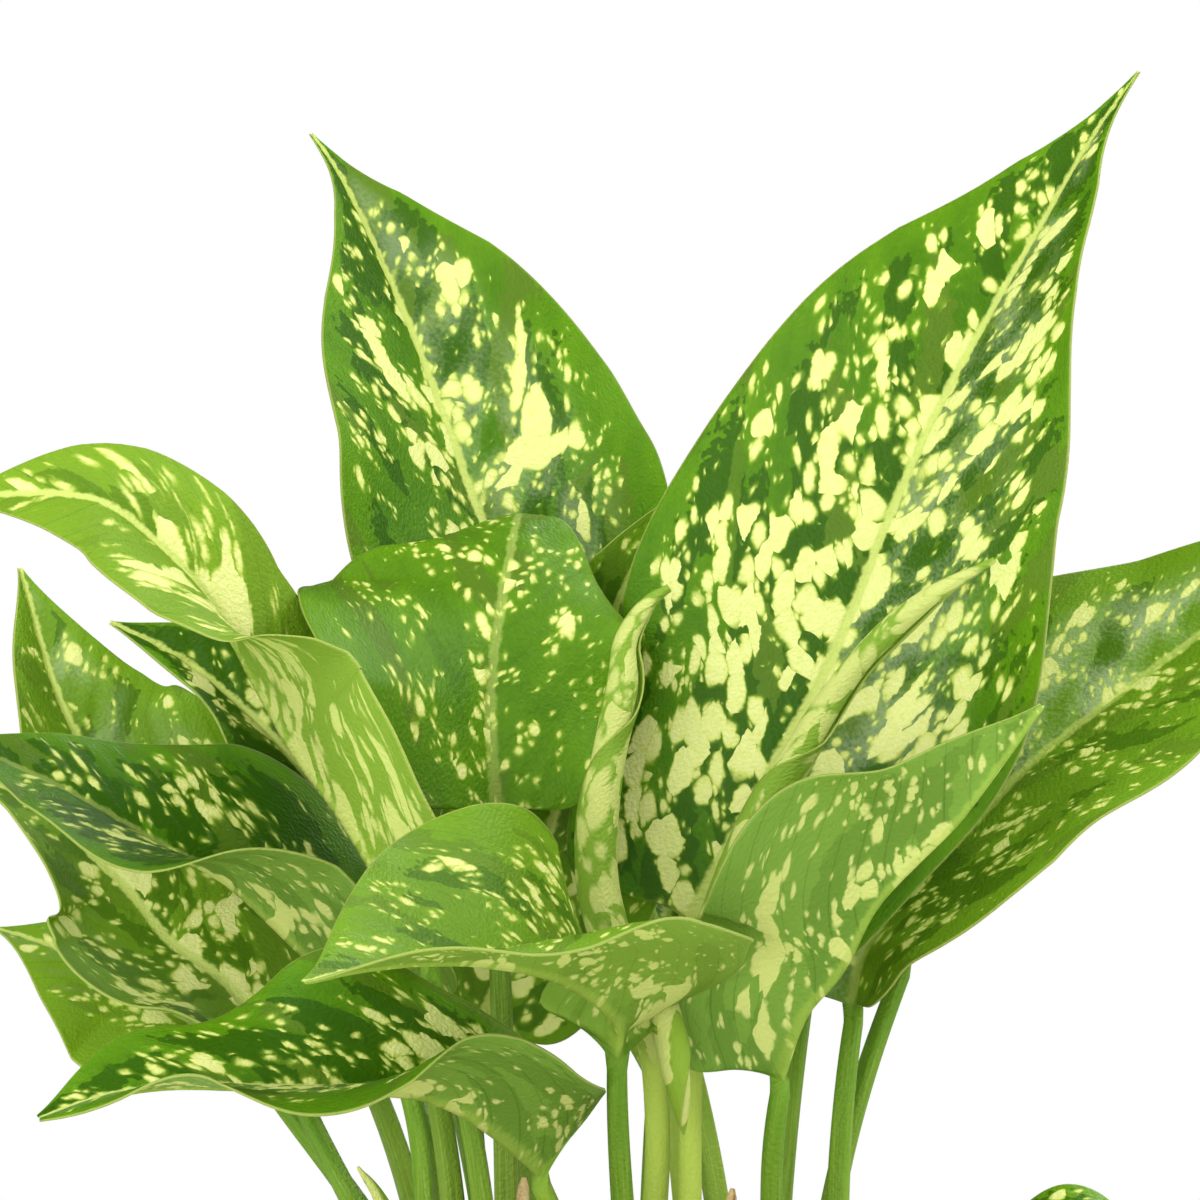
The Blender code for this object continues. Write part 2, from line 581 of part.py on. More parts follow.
def rod(name, x, y, low, high, radius, sides):
    """An upright prism, used to cut a round hole."""
    angle = 2 * np.pi * np.arange(sides) / sides
    ring = np.stack([x + radius * np.cos(angle), y + radius * np.sin(angle), 0 * angle], axis=1)
    return body(name, *loft([ring + [0, 0, low], ring + [0, 0, high]]))


def finish(piece, colour, roughness, metallic=0.0):
    """Gives a piece its own material."""
    material = bpy.data.materials.new(piece.name)
    material.use_nodes = True
    shader = material.node_tree.nodes["Principled BSDF"]
    shader.inputs["Base Color"].default_value = colour + (1.0,)
    shader.inputs["Roughness"].default_value = roughness
    shader.inputs["Metallic"].default_value = metallic
    piece.data.materials.clear()
    piece.data.materials.append(material)


def make_pot():
    pot = body("pot", *turned(pot_profile(), POT_SIDES))
    holes = []
    for k in range(DRAIN_HOLES):
        turn = 2 * math.pi * k / DRAIN_HOLES + 0.5
        x, y = DRAIN_CIRCLE * math.cos(turn), DRAIN_CIRCLE * math.sin(turn)
        holes.append(rod(f"drain_{k}", x, y, -2.0, POT_FLOOR + 2.0, DRAIN_RADIUS, 12))
    cut(pot, holes)
    finish(pot, (0.55, 0.27, 0.16), 0.85)


def make_soil():
    soil = body("soil", *soil_shape())
    holes = []
    for stalk in LEAVES + SPEARS:
        x, y = hole_place(stalk)
        radius = PETIOLE_FOOT_RADIUS + HOLE_CLEARANCE
        low = SOIL_TOP - HOLE_DEPTH - GAP
        holes.append(rod("hole_" + stalk.name, x, y, low, SOIL_TOP + 12.0, radius, HOLE_SIDES))
    cut(soil, holes)
    finish(soil, (0.045, 0.03, 0.02), 0.95)


def make_plant():
    for leaf in LEAVES:
        finish(body(leaf.name, *leaf_mesh(leaf)), (0.12, 0.3, 0.07), 0.42)
    for spear in SPEARS:
        finish(body(spear.name, *spear_mesh(spear)), (0.35, 0.5, 0.15), 0.45)


def main():
    for old in list(bpy.data.objects):
        bpy.data.objects.remove(old)
    make_pot()
    make_soil()
    make_plant()


main()
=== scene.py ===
# %% [markdown]
# # Potted chinese evergreen
# A young foliage plant in a plain clay pot. Its solids come as a fixed frame: one closed body
# for each leaf, the soil and the pot. This file dresses them. It swaps the coarse leaves for
# fine ones grown by the same rule, paints the cream spots, turns the pot and fills it with
# crumbled soil, then sets up the light and the camera.

# %% Load the fixed frame
import math
from collections import namedtuple
from types import SimpleNamespace

import bpy
import numpy as np
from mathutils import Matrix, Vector


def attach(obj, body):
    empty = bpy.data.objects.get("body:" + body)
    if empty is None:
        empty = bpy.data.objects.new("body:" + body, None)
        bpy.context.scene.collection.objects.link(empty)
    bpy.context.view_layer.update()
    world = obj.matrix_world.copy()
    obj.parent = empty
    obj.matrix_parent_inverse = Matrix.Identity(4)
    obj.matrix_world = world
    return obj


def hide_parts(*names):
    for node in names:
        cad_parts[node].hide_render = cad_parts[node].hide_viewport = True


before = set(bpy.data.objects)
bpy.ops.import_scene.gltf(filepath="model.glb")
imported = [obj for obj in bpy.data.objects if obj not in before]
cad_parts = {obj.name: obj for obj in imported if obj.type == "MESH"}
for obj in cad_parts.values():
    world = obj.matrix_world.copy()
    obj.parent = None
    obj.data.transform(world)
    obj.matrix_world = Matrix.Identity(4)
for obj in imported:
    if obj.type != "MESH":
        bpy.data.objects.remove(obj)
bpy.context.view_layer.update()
MM = 0.001

# %% [markdown]
# ## Camera
# A product photo of a plant is taken level with its leaves, from far away through a long
# lens, so that near leaves don't look swollen. The lens follows from the distance and from
# how wide a strip of the plant the picture shows.

# %% Camera
CAMERA_DISTANCE = 1.2
CAMERA_SIDE = -0.0037
CAMERA_HEIGHT = 0.2737
PICTURE_WIDTH = 0.2232
SENSOR_WIDTH = 36.0

camera_data = bpy.data.cameras.new("camera")
camera_data.sensor_width = SENSOR_WIDTH
camera_data.lens = SENSOR_WIDTH * CAMERA_DISTANCE / PICTURE_WIDTH
camera_data.clip_start = 0.05
camera = bpy.data.objects.new("camera", camera_data)
camera.location = (CAMERA_SIDE, -CAMERA_DISTANCE, CAMERA_HEIGHT)
camera.rotation_euler = (math.radians(90), 0, 0)
bpy.context.scene.collection.objects.link(camera)
bpy.context.scene.camera = camera
print("lens", round(camera_data.lens, 1), "mm")

# %% [markdown]
# ## Formulas as nodes
# Shader and geometry nodes do arithmetic one node at a time, which is slow to write by hand.
# A small class can stand for a socket and add the right node whenever Python sees a plus or
# a times. The same class serves both kinds of tree, so every pattern below reads as a formula.

# %% A socket that does sums
def sums(operation, reflected=False):
    """A method that adds one Math node. Reflected, the wire is the last of its numbers."""
    def method(self, *others):
        values = (*others, self) if reflected else (self, *others)
        return self.bench.node("ShaderNodeMath", {"operation": operation}, dict(enumerate(values)))
    return method


class Wire:
    """The output of a node. Sums with it add Math nodes to its bench."""

    def __init__(self, bench, socket):
        self.bench = bench
        self.socket = socket

    __add__, __radd__ = sums("ADD"), sums("ADD", reflected=True)
    __sub__, __rsub__ = sums("SUBTRACT"), sums("SUBTRACT", reflected=True)
    __mul__, __rmul__ = sums("MULTIPLY"), sums("MULTIPLY", reflected=True)
    __truediv__, __rtruediv__ = sums("DIVIDE"), sums("DIVIDE", reflected=True)
    __pow__ = sums("POWER")
    __abs__ = sums("ABSOLUTE")
    at_least = sums("MAXIMUM")
    over = sums("GREATER_THAN")
    zigzag = sums("PINGPONG")
    sine = sums("SINE")
    cosine = sums("COSINE")


# %% A bench to build node trees on
class Bench:
    """A node tree under construction."""

    def __init__(self, tree):
        self.tree = tree

    def node(self, kind, settings=None, inputs=None, output=0):
        """Adds a node: what it is set to first, then what goes into its sockets."""
        made = self.tree.nodes.new(kind)
        for name, value in (settings or {}).items():
            setattr(made, name, value)
        for key, value in (inputs or {}).items():
            if isinstance(value, Wire):
                self.tree.links.new(value.socket, made.inputs[key])
            else:
                made.inputs[key].default_value = value
        return Wire(self, made.outputs[output])

    def parts(self, vector):
        """The three numbers of a vector."""
        split = self.node("ShaderNodeSeparateXYZ", None, {0: vector})
        return [Wire(self, socket) for socket in split.socket.node.outputs]

    def vector(self, x, y, z):
        return self.node("ShaderNodeCombineXYZ", None, {0: x, 1: y, 2: z})

    def stretched(self, vector, factor):
        return self.node("ShaderNodeVectorMath", {"operation": "SCALE"},
                         {0: vector, "Scale": factor})

    def ramp(self, value, low, high):
        """An even S-shaped step from 0 at low to 1 at high."""
        return self.node("ShaderNodeMapRange", {"interpolation_type": "SMOOTHSTEP"},
                         {0: value, 1: low, 2: high, 3: 0.0, 4: 1.0})

    def tint(self, under, over, share):
        """One colour laid over another."""
        return self.node("ShaderNodeMix", {"data_type": "RGBA"}, {0: share, 6: under, 7: over}, 2)

    def noise(self, place, size, detail=2.0, rough=0.5):
        """Soft noise from 0 to 1 whose blobs are about size wide."""
        return self.node("ShaderNodeTexNoise", None, {
            "Vector": place, "Scale": 1.0 / size, "Detail": detail, "Roughness": rough})

    def flat_noise(self, x, y, size, detail=1.0):
        """The same over a plane, which is quicker to work out."""
        return self.node("ShaderNodeTexNoise", {"noise_dimensions": "2D"}, {
            "Vector": self.vector(x, y, 0.0), "Scale": 1.0 / size, "Detail": detail})

    def cells(self, place, size, dimensions="3D"):
        """Scattered cells: how far the nearest centre is in cell sizes, and a number each."""
        distance = self.node("ShaderNodeTexVoronoi", {"voronoi_dimensions": dimensions}, {
            "Vector": place, "Scale": 1.0 / size})
        colour = Wire(self, distance.socket.node.outputs["Color"])
        return distance, self.parts(colour)[0]

    def bump(self, height, strength, distance):
        """A surface that seems to rise and sink with height, by a distance in metres."""
        return self.node("ShaderNodeBump", None, {
            "Strength": strength, "Distance": distance, "Height": height})

    def noted(self, name):
        """The three numbers that a piece's points keep under a name, for a material."""
        return self.parts(self.node("ShaderNodeAttribute", {"attribute_name": name}, None, 1))


def colour(red, green, blue):
    """A colour as seen on a screen, from 0 to 255, turned into light by the screen's formula."""
    return tuple((c / 255 / 12.92 if c < 11 else ((c / 255 + 0.055) / 1.055) ** 2.4)
                 for c in (red, green, blue)) + (1.0,)


print("a bench for node trees is ready")

# %% How every material starts and ends
def new_material(name):
    """An empty material, and a bench for its nodes."""
    material = bpy.data.materials.new(name)
    material.use_nodes = True
    bench = Bench(material.node_tree)
    bench.tree.nodes.clear()
    return material, bench


def finished(material, bench, shader):
    """The material with its shader connected."""
    out = bench.tree.nodes.new("ShaderNodeOutputMaterial")
    bench.tree.links.new(shader.socket, out.inputs["Surface"])
    return material


def object_place(bench):
    """Object coordinates in millimetres."""
    place = bench.node("ShaderNodeTexCoord", None, None, 3)
    return bench.stretched(place, 1.0 / MM)


# %% [markdown]
# ## The leaves' tables
# A leaf of this plant is a folded blade on a petiole: the midrib is a curve in space, each
# half rises from it at its own angle, and the margins wave. The tables are the ones that the
# solids were made from, so the fine leaves lie where the coarse ones do. Sizes are in
# millimetres.

# %% Shoots, petioles and blades
SHOOTS = {
    "front_left": (-27.0, -8.0),
    "back_left": (-24.0, 20.0),
    "middle": (6.0, -8.0),
    "right": (31.0, 8.0),
}
SHOOT_RADIUS = 10.0
SOIL_TOP = 110.0
HOLE_DEPTH = 20.0
PETIOLE_FOOT_RADIUS = 2.6
PETIOLE_TOP_RADIUS = 1.8
RIB_FOOT_RADIUS = 1.5
RIB_TIP_RADIUS = 0.3
TIP_HALF_WIDTH = 0.3
NECK_SHARE = 0.07
RIB_LEAN = 1.9
MARGIN_LEAN = 1.5
SWEEP = 1.4
LOBE_SPAN = 0.36
FULLNESS = 0.8
TIP_NARROWING = 0.75
BLUNT_TIPS = {"leaf_front_low": 0.15, "leaf_low_right": 0.4}
RIPPLE_GROWTH = 2.2
FIRST_ROW = 0.025
LAST_ROW = 0.99
EVEN_BREADTH = [(0, 1, 1)]
DRAWN_OUT_TIP = [(0.72, 1, 1), (0.84, 0.86, 0.86), (0.92, 0.5, 0.5), (1, 0.35, 0.35)]

Leaf = namedtuple("Leaf", "name shoot turn rib up half fold curl wave lobe breadth",
                  defaults=[(0.0, 0.0), (2.0, 3.0, 0.0, 0.4), 0.05, EVEN_BREADTH])
print(len(SHOOTS), "shoots stand in the pot")

# %% The table of leaves
# turn: where round its shoot the petiole stands, in degrees. rib: the midrib's points.
# up: by share of the midrib, where the upper face looks. half: how wide the left and the
# right half are. fold: by share, how steeply each rises from the rib, in degrees, and curl:
# how much steeper it gets towards the margin. wave: the margins' height, number of waves
# and starts. lobe: how far the base reaches back. breadth: by share, each half's factor.
LEAVES = [
    Leaf("leaf_tall_left", "right", 155,
         rib=[(-6, 33, 251), (-25, 40, 286), (-33, 44, 307), (-42, 48, 330), (-53, 52, 354),
              (-61, 55, 366)],
         up=[(0, (0.34, -0.9, 0.25))],
         half=(36, 37), fold=[(0, 16, 8), (0.3, 26, 14), (0.5, 32, 20), (1, 38, 36)],
         curl=(-8, -8), wave=(1.8, 2.5, 0.1, 0.5), breadth=DRAWN_OUT_TIP),
    Leaf("leaf_tall_right", "middle", 20,
         rib=[(13, 2, 214), (26, 3, 238), (39, 4, 262), (52, 6, 293), (61, 8, 312),
              (71, 11, 330), (81, 15, 347), (90, 19, 362), (100, 23, 376)],
         up=[(0, (-0.25, -0.93, 0.2)), (0.5, (-0.4, -0.88, 0.2)), (1, (-0.5, -0.85, 0.2))],
         half=(42, 42), fold=[(0, 8, -8), (0.3, 14, 2), (0.5, 18, 22), (0.8, 22, 34), (1, 30, 45)],
         curl=(-6, -6), wave=(2.2, 3.0, 0.3, 0.1), lobe=0.08, breadth=DRAWN_OUT_TIP),
    Leaf("leaf_right", "right", 20,
         rib=[(44, 18, 197), (48, 19, 210), (67, 22, 231), (81, 25, 245), (108, 32, 265),
              (130, 38, 280), (150, 44, 290)],
         up=[(0, (-0.3, -0.85, 0.4))],
         half=(36, 29), fold=[(0, 15, 50), (0.3, 6, 26), (0.7, 4, 16), (1, 20, 25)],
         curl=(-5, 5), wave=(2.0, 2.5, 0.0, 0.4)),
    Leaf("leaf_front_right", "right", 265,
         rib=[(29, -25, 187), (33, -28, 198), (40, -32, 207), (47, -37, 220), (61, -43, 235),
              (76, -49, 256)],
         up=[(0, (-0.25, 0.8, 0.4)), (1, (-0.35, 0.75, 0.5))],
         half=(28, 31), fold=[(0, 60, 20), (0.4, 74, 14), (0.8, 60, 25), (1, 40, 30)],
         curl=(0, -14), wave=(2.5, 2.5, 0.2, 0.0), lobe=0.1),
    Leaf("leaf_middle", "front_left", 50,
         rib=[(-23, -14, 235), (-24, -11, 255), (-22, -5, 273), (-20, 4, 285), (-19, 16, 290),
              (-19, 27, 287)],
         up=[(0, (0.0, -0.95, 0.3)), (0.6, (0, -0.8, 0.6)), (1, (0, 0.3, 0.95))],
         half=(39, 27), curl=(-8, -6),
         fold=[(0, 46, -8), (0.25, 44, -10), (0.4, 26, -14), (0.55, -4, -16), (0.75, -12, -14),
               (1, -5, -5)],
         wave=(2.4, 2.5, 0.55, 0.1), lobe=0.06),
    Leaf("leaf_twisted_left", "front_left", 300,
         rib=[(-34, -31, 210), (-42, -31, 222), (-51, -28, 236), (-60, -24, 248),
              (-70, -23, 266), (-78, -26, 278), (-91, -31, 290), (-102, -34, 293),
              (-123, -38, 292)],
         up=[(0, (0.8, -0.1, 0.6)), (0.45, (0.8, -0.15, 0.6)), (0.66, (0.45, -0.6, 0.65)),
             (0.82, (0.1, -0.8, 0.6)), (1, (0.1, -0.8, 0.6))],
         half=(34, 17), fold=[(0, 36, 15), (0.2, 38, 20), (0.4, 38, 50), (0.65, 8, 36),
                              (0.8, 0, 8), (1, 10, 10)],
         curl=(6, 0), wave=(1.0, 3.0, 0.2, 0.6), lobe=0.05,
         breadth=[(0.55, 1, 1), (0.75, 1, 1.7), (1, 1, 1.9)]),
    Leaf("leaf_back_left", "back_left", 160,
         rib=[(-71, 36, 224), (-96, 40, 239), (-107, 42, 253), (-116, 44, 281)],
         up=[(0, (0.3, -0.85, 0.4)), (1, (0.5, -0.8, 0.2))],
         half=(20, 22), fold=[(0, 15, 15), (1, 30, 30)], wave=(1.5, 2.0, 0.0, 0.5)),
    Leaf("leaf_small_left", "back_left", 240,
         rib=[(-48, 22, 227), (-67, 22, 249), (-82, 20, 262), (-97, 17, 270)],
         up=[(0, (0.25, -0.8, 0.5))],
         half=(15, 16), fold=[(0, 25, 25), (1, 35, 35)], wave=(1.2, 2.0, 0.0, 0.5)),
    Leaf("leaf_left", "front_left", 200,
         rib=[(-41, -8, 193), (-50, -9, 202), (-59, -10, 210), (-72, -11, 222), (-85, -12, 229),
              (-104, -13, 240), (-127, -14, 250)],
         up=[(0, (0.5, -0.1, 0.85))],
         half=(29, 31), fold=[(0, 62, 42), (0.3, 40, 42), (0.55, 0, 40), (0.8, -26, 36),
                              (1, -10, 20)],
         curl=(0, 0), wave=(1.8, 2.5, 0.3, 0.0), lobe=0.07),
    Leaf("leaf_low_left", "front_left", 155,
         rib=[(-60, 8, 184), (-73, 12, 201), (-84, 15, 209), (-91, 18, 217), (-97, 20, 223),
              (-112, 20, 236), (-128, 20, 243)],
         up=[(0, (0.3, -0.6, 0.7))],
         half=(27, 26), fold=[(0, 5, 20), (0.5, -25, 15), (1, 0, 15)], curl=(60, 0),
         wave=(1.2, 2.0, 0.0, 0.4)),
    Leaf("leaf_low_back_left", "back_left", 200,
         rib=[(-67, 25, 185), (-88, 32, 197), (-105, 36, 206), (-121, 40, 211)],
         up=[(0, (0.2, -0.3, 0.95))],
         half=(24, 22), fold=[(0, 10, 30), (0.5, -30, 25), (1, 0, 10)],
         wave=(1.5, 2.0, 0.2, 0.5)),
    Leaf("leaf_front", "middle", 250,
         rib=[(-1, -44, 193), (-1, -48, 199), (-7, -60, 205), (-14, -73, 209), (-28, -94, 212),
              (-42, -113, 212), (-54, -127, 210)],
         up=[(0, (-0.1, 0.0, 1.0))],
         half=(37, 32),
         fold=[(0, 30, 60), (0.2, 22, 70), (0.4, 14, 64), (0.6, 12, 45), (1, 15, 25)],
         curl=(-14, 10), wave=(2.4, 2.5, 0.1, 0.5), lobe=0.03),
    Leaf("leaf_front_low", "middle", 185,
         rib=[(-14, -36, 171), (-18, -41, 175), (-25, -48, 181), (-32, -54, 185), (-40, -59, 187),
              (-57, -67, 188), (-78, -72, 189), (-91, -75, 187), (-103, -77, 183)],
         up=[(0, (0.2, 0.0, 1.0))],
         half=(27, 28),
         fold=[(0, 68, 50), (0.2, 44, 56), (0.45, 16, 50), (0.7, 5, 38), (1, 10, 20)],
         curl=(-10, 0), wave=(4.0, 2.5, 0.35, 0.1), lobe=0.05),
    Leaf("leaf_back_middle", "back_left", 285,
         rib=[(-26, 15, 194), (-20, 17, 208), (-14, 20, 227), (-8, 22, 250), (0, 23, 274),
              (8, 24, 288), (16, 24, 296)],
         up=[(0, (0.1, -0.95, 0.25))],
         half=(22, 25), fold=[(0, 15, 15), (1, 25, 20)], wave=(2.0, 2.5, 0.2, 0.6)),
    Leaf("leaf_young_right", "middle", 320,
         rib=[(13, -16, 200), (18, -17, 213), (26, -18, 229), (37, -20, 246), (49, -23, 265),
              (60, -26, 277), (68, -28, 281)],
         up=[(0, (0.2, -0.95, 0.2))],
         half=(18, 17), fold=[(0, 30, 30), (0.3, 40, 40), (1, 40, 40)], curl=(62, 70),
         wave=(0.8, 2.0, 0.0, 0.4), lobe=0.16),
    Leaf("leaf_low_right", "right", 325,
         rib=[(58, -10, 147), (72, -13, 153), (86, -15, 155), (101, -17, 150), (115, -19, 140)],
         up=[(0, (-0.2, -0.1, 1.0))],
         half=(18, 19), fold=[(0, 25, 25), (1, 15, 15)]),
    Leaf("leaf_rear_left", "back_left", 80,
         rib=[(-36, 36, 207), (-44, 58, 228), (-54, 84, 247), (-64, 112, 258)],
         up=[(0, (0.1, -0.5, 0.9))],
         half=(25, 26), fold=[(0, 28, 28), (1, 20, 20)], wave=(2.4, 2.5, 0.3, 0.0)),
    Leaf("leaf_rear_middle", "back_left", 35,
         rib=[(-20, 34, 222), (-18, 58, 246), (-18, 86, 266), (-20, 116, 270)],
         up=[(0, (0.0, -0.6, 0.8))],
         half=(27, 26), fold=[(0, 26, 26), (1, 22, 22)], wave=(2.6, 2.5, 0.0, 0.5)),
    Leaf("leaf_rear_low", "middle", 95,
         rib=[(8, 40, 200), (10, 64, 218), (13, 92, 232), (17, 120, 232)],
         up=[(0, (0.0, -0.4, 0.9))],
         half=(25, 24), fold=[(0, 24, 30), (1, 15, 20)], wave=(2.4, 2.5, 0.4, 0.9)),
    Leaf("leaf_rear_right", "right", 105,
         rib=[(38, 42, 218), (46, 64, 240), (54, 88, 256), (62, 112, 264)],
         up=[(0, (-0.2, -0.5, 0.85))],
         half=(25, 26), fold=[(0, 26, 26), (1, 20, 20)], wave=(2.4, 2.5, 0.6, 0.2)),
    Leaf("leaf_side_right", "right", 62,
         rib=[(54, 36, 206), (72, 46, 228), (92, 56, 246), (112, 64, 258)],
         up=[(0, (-0.3, -0.3, 0.9))],
         half=(22, 23), fold=[(0, 20, 26), (1, 18, 18)], wave=(1.8, 2.5, 0.1, 0.6)),
    Leaf("leaf_side_left", "back_left", 120,
         rib=[(-46, 54, 196), (-66, 64, 212), (-86, 72, 222), (-106, 80, 228)],
         up=[(0, (0.2, -0.2, 0.95))],
         half=(22, 23), fold=[(0, 20, 20), (1, 15, 15)], wave=(1.8, 2.5, 0.4, 0.0)),
]
print(len(LEAVES), "leaves are in the table")

# %% [markdown]
# ## Growing a fine leaf
# A blade could be sculpted, or drawn on a flat grid and bent by modifiers. Here it is lofted
# by formula instead, ring by ring from the petiole's foot to the tip, because then the same
# numbers give a coarse leaf for the solid and a fine one for the eye. Each point also keeps
# where it lies on the leaf, so that spots and veins can follow the surface.

# %% Lines through space
def unit(vectors):
    """Vectors of length one."""
    return vectors / np.linalg.norm(vectors, axis=-1, keepdims=True)


def smoothstep(share):
    """An even rise from 0 to 1."""
    share = np.clip(share, 0.0, 1.0)
    return share * share * (3.0 - 2.0 * share)


def smooth_line(points, steps=24):
    """A smooth line that passes through given points, as many close points."""
    points = np.asarray(points, float)
    ends = np.vstack([2 * points[0] - points[1], points, 2 * points[-1] - points[-2]])
    share = np.linspace(0.0, 1.0, steps, endpoint=False)[:, None]
    spans = []
    for a, b, c, d in zip(ends, ends[1:], ends[2:], ends[3:]):
        spans.append(0.5 * (2 * b + (c - a) * share + (2 * a - 5 * b + 4 * c - d) * share**2
                            + (3 * b - a - 3 * c + d) * share**3))
    return np.vstack(spans + [points[-1:]])


class Line:
    """A smooth line that gives its points and directions by the share of its length."""

    def __init__(self, dense):
        steps = np.linalg.norm(np.diff(dense, axis=0), axis=1)
        self.length = steps.sum()
        self.dense = dense
        self.share = np.concatenate([[0.0], np.cumsum(steps)]) / self.length
        self.slope = unit(np.gradient(dense, self.share, axis=0))

    def read(self, table, share):
        return np.stack([np.interp(share, self.share, table[:, k]) for k in range(3)], axis=-1)

    def direction(self, share):
        return unit(self.read(self.slope, np.clip(share, 0.0, 1.0)))

    def point(self, share):
        inside = np.clip(share, 0.0, 1.0)
        beyond = (share - inside) * self.length
        return self.read(self.dense, inside) + beyond[..., None] * self.direction(share)


def between(table, share, column):
    """A value read between the rows of a small table whose first column is the share."""
    return np.interp(share, [row[0] for row in table], [row[column] for row in table])


# %% The form of a blade
STRAIGHT = 1e-4
RIPPLE_ROOM = 1.6
PETIOLE_START = 2.0
PETIOLE_UPRIGHT = 0.45
PETIOLE_ARCH = 0.3
PETIOLE_RISE = 0.8
PETIOLE_STEPS = 60


def faces_up(leaf, line, share):
    """The directions that the upper face looks along the midrib, square to it."""
    ups = [(row[0],) + tuple(row[1]) for row in leaf.up]
    hint = np.stack([between(ups, share, k) for k in (1, 2, 3)], axis=-1)
    tangent = line.direction(share)
    return unit(hint - (hint * tangent).sum(-1, keepdims=True) * tangent)


def outline(leaf, row):
    """For each row: its share at the midrib, its share at the margin, and its width there."""
    at_rib = row**RIB_LEAN
    lobe = leaf.lobe * np.sin(np.pi * np.clip(row / LOBE_SPAN, 0, 1)) ** 2
    at_margin = row**MARGIN_LEAN - lobe
    narrowing = BLUNT_TIPS.get(leaf.name, TIP_NARROWING)
    width = np.sin(np.pi * np.clip(row, 0, 1)) ** FULLNESS * (1 - narrowing * at_rib**4)
    return at_rib, at_margin, width


def half_section(fold, curl, reach):
    """How far across and how far up a half goes that leaves the rib at fold and curls on."""
    curl = np.where(np.abs(curl) < STRAIGHT, STRAIGHT, curl)
    across = (np.sin(fold + curl * reach) - np.sin(fold)) / curl
    rise = (np.cos(fold) - np.cos(fold + curl * reach)) / curl
    return across, rise


def upper_face(leaf, line, rows, columns):
    """Points of the blade's upper face and the directions that it looks, by row and column."""
    row = rows[:, None]
    side = np.sign(columns)[None, :]
    reach = np.abs(columns)[None, :]
    at_rib, at_margin, width = outline(leaf, row)
    along = at_rib + (at_margin - at_rib) * reach**SWEEP
    inside = np.clip(along, 0, 1)
    half = np.where(side < 0, leaf.half[0], leaf.half[1])
    half = half * np.where(side < 0, between(leaf.breadth, inside, 1),
                           between(leaf.breadth, inside, 2))
    half = np.maximum(half * width, TIP_HALF_WIDTH)
    fold = np.radians(np.where(side < 0, between(leaf.fold, inside, 1),
                               between(leaf.fold, inside, 2)))
    curl = np.radians(np.where(side < 0, leaf.curl[0], leaf.curl[1]))
    across, rise = half_section(fold, curl, reach)
    tangent = line.direction(inside)
    up = faces_up(leaf, line, inside)
    right = np.cross(tangent, up)
    height, waves, left_phase, right_phase = leaf.wave
    phase = np.where(side < 0, left_phase, right_phase)
    ripple = height * reach**RIPPLE_GROWTH * np.sin(2 * np.pi * (waves * along + phase))
    ripple = ripple * np.clip(width * RIPPLE_ROOM, 0, 1)
    lean = fold + curl * reach
    outward = side[..., None] * right
    looks = np.cos(lean)[..., None] * up - np.sin(lean)[..., None] * outward
    looks = np.where(reach[..., None] > 0, looks, up)
    points = (line.point(along) + (half * across)[..., None] * outward
              + (half * rise)[..., None] * up + ripple[..., None] * looks)
    return points, looks


# %% The way of a petiole
def hole_place(stalk):
    """Where a petiole or a spear goes into the soil."""
    x, y = SHOOTS[stalk.shoot]
    if stalk.turn is None:
        return (x, y)
    turn = math.radians(stalk.turn)
    return (x + SHOOT_RADIUS * math.cos(turn), y + SHOOT_RADIUS * math.sin(turn))


def petiole_line(leaf, line):
    """The stalk's curve from the soil to the blade: it starts upright and ends along the rib."""
    foot = np.array(hole_place(leaf) + (SOIL_TOP + PETIOLE_START,))
    base = line.dense[0]
    reach = np.linalg.norm(base - foot)
    first = foot + np.array([0.0, 0.0, PETIOLE_UPRIGHT * reach])
    arrival = unit(line.slope[0] + np.array([0.0, 0.0, PETIOLE_RISE]))
    last = base - PETIOLE_ARCH * reach * arrival
    share = np.linspace(0, 1, PETIOLE_STEPS)[:, None]
    return Line((1 - share) ** 3 * foot + 3 * (1 - share) ** 2 * share * first
                + 3 * (1 - share) * share**2 * last + share**3 * base)


# %% Rings of a petiole
FINE_ROWS = 120
STALK_RINGS = 26
HALF_COLUMNS = [0.016, 0.032, 0.055, 0.085, 0.13, 0.19, 0.26, 0.34, 0.42, 0.5, 0.58, 0.66, 0.74,
                0.82, 0.89, 0.94, 0.975, 1.0]
COLUMNS = np.array([-c for c in reversed(HALF_COLUMNS)] + [0.0] + HALF_COLUMNS)
HALF_RING = 88.0
CHANNEL_DEPTH = 0.3
CHANNEL_HALF_ANGLE = 34.0
CHANNEL_FADE = 0.5
RIDGE_PLACE = 1.5
RIDGE_SHARPNESS = 1.6
RIDGE_SHARE = 0.35


def ring_angles():
    """Angles round the stalk: over the top from left to right, then back underneath."""
    over = np.radians(90.0 - HALF_RING * COLUMNS)
    return np.concatenate([over, -over[::-1]])


def channelled(radius, depth):
    """Radii round a stalk with a channel along its upper side and a low ridge either side."""
    off = (np.degrees(ring_angles()) - 90.0) / CHANNEL_HALF_ANGLE
    groove = np.exp(-off**2)
    ridges = np.exp(-((np.abs(off) - RIDGE_PLACE) * RIDGE_SHARPNESS) ** 2)
    return radius * (1.0 - depth * groove + RIDGE_SHARE * depth * ridges)


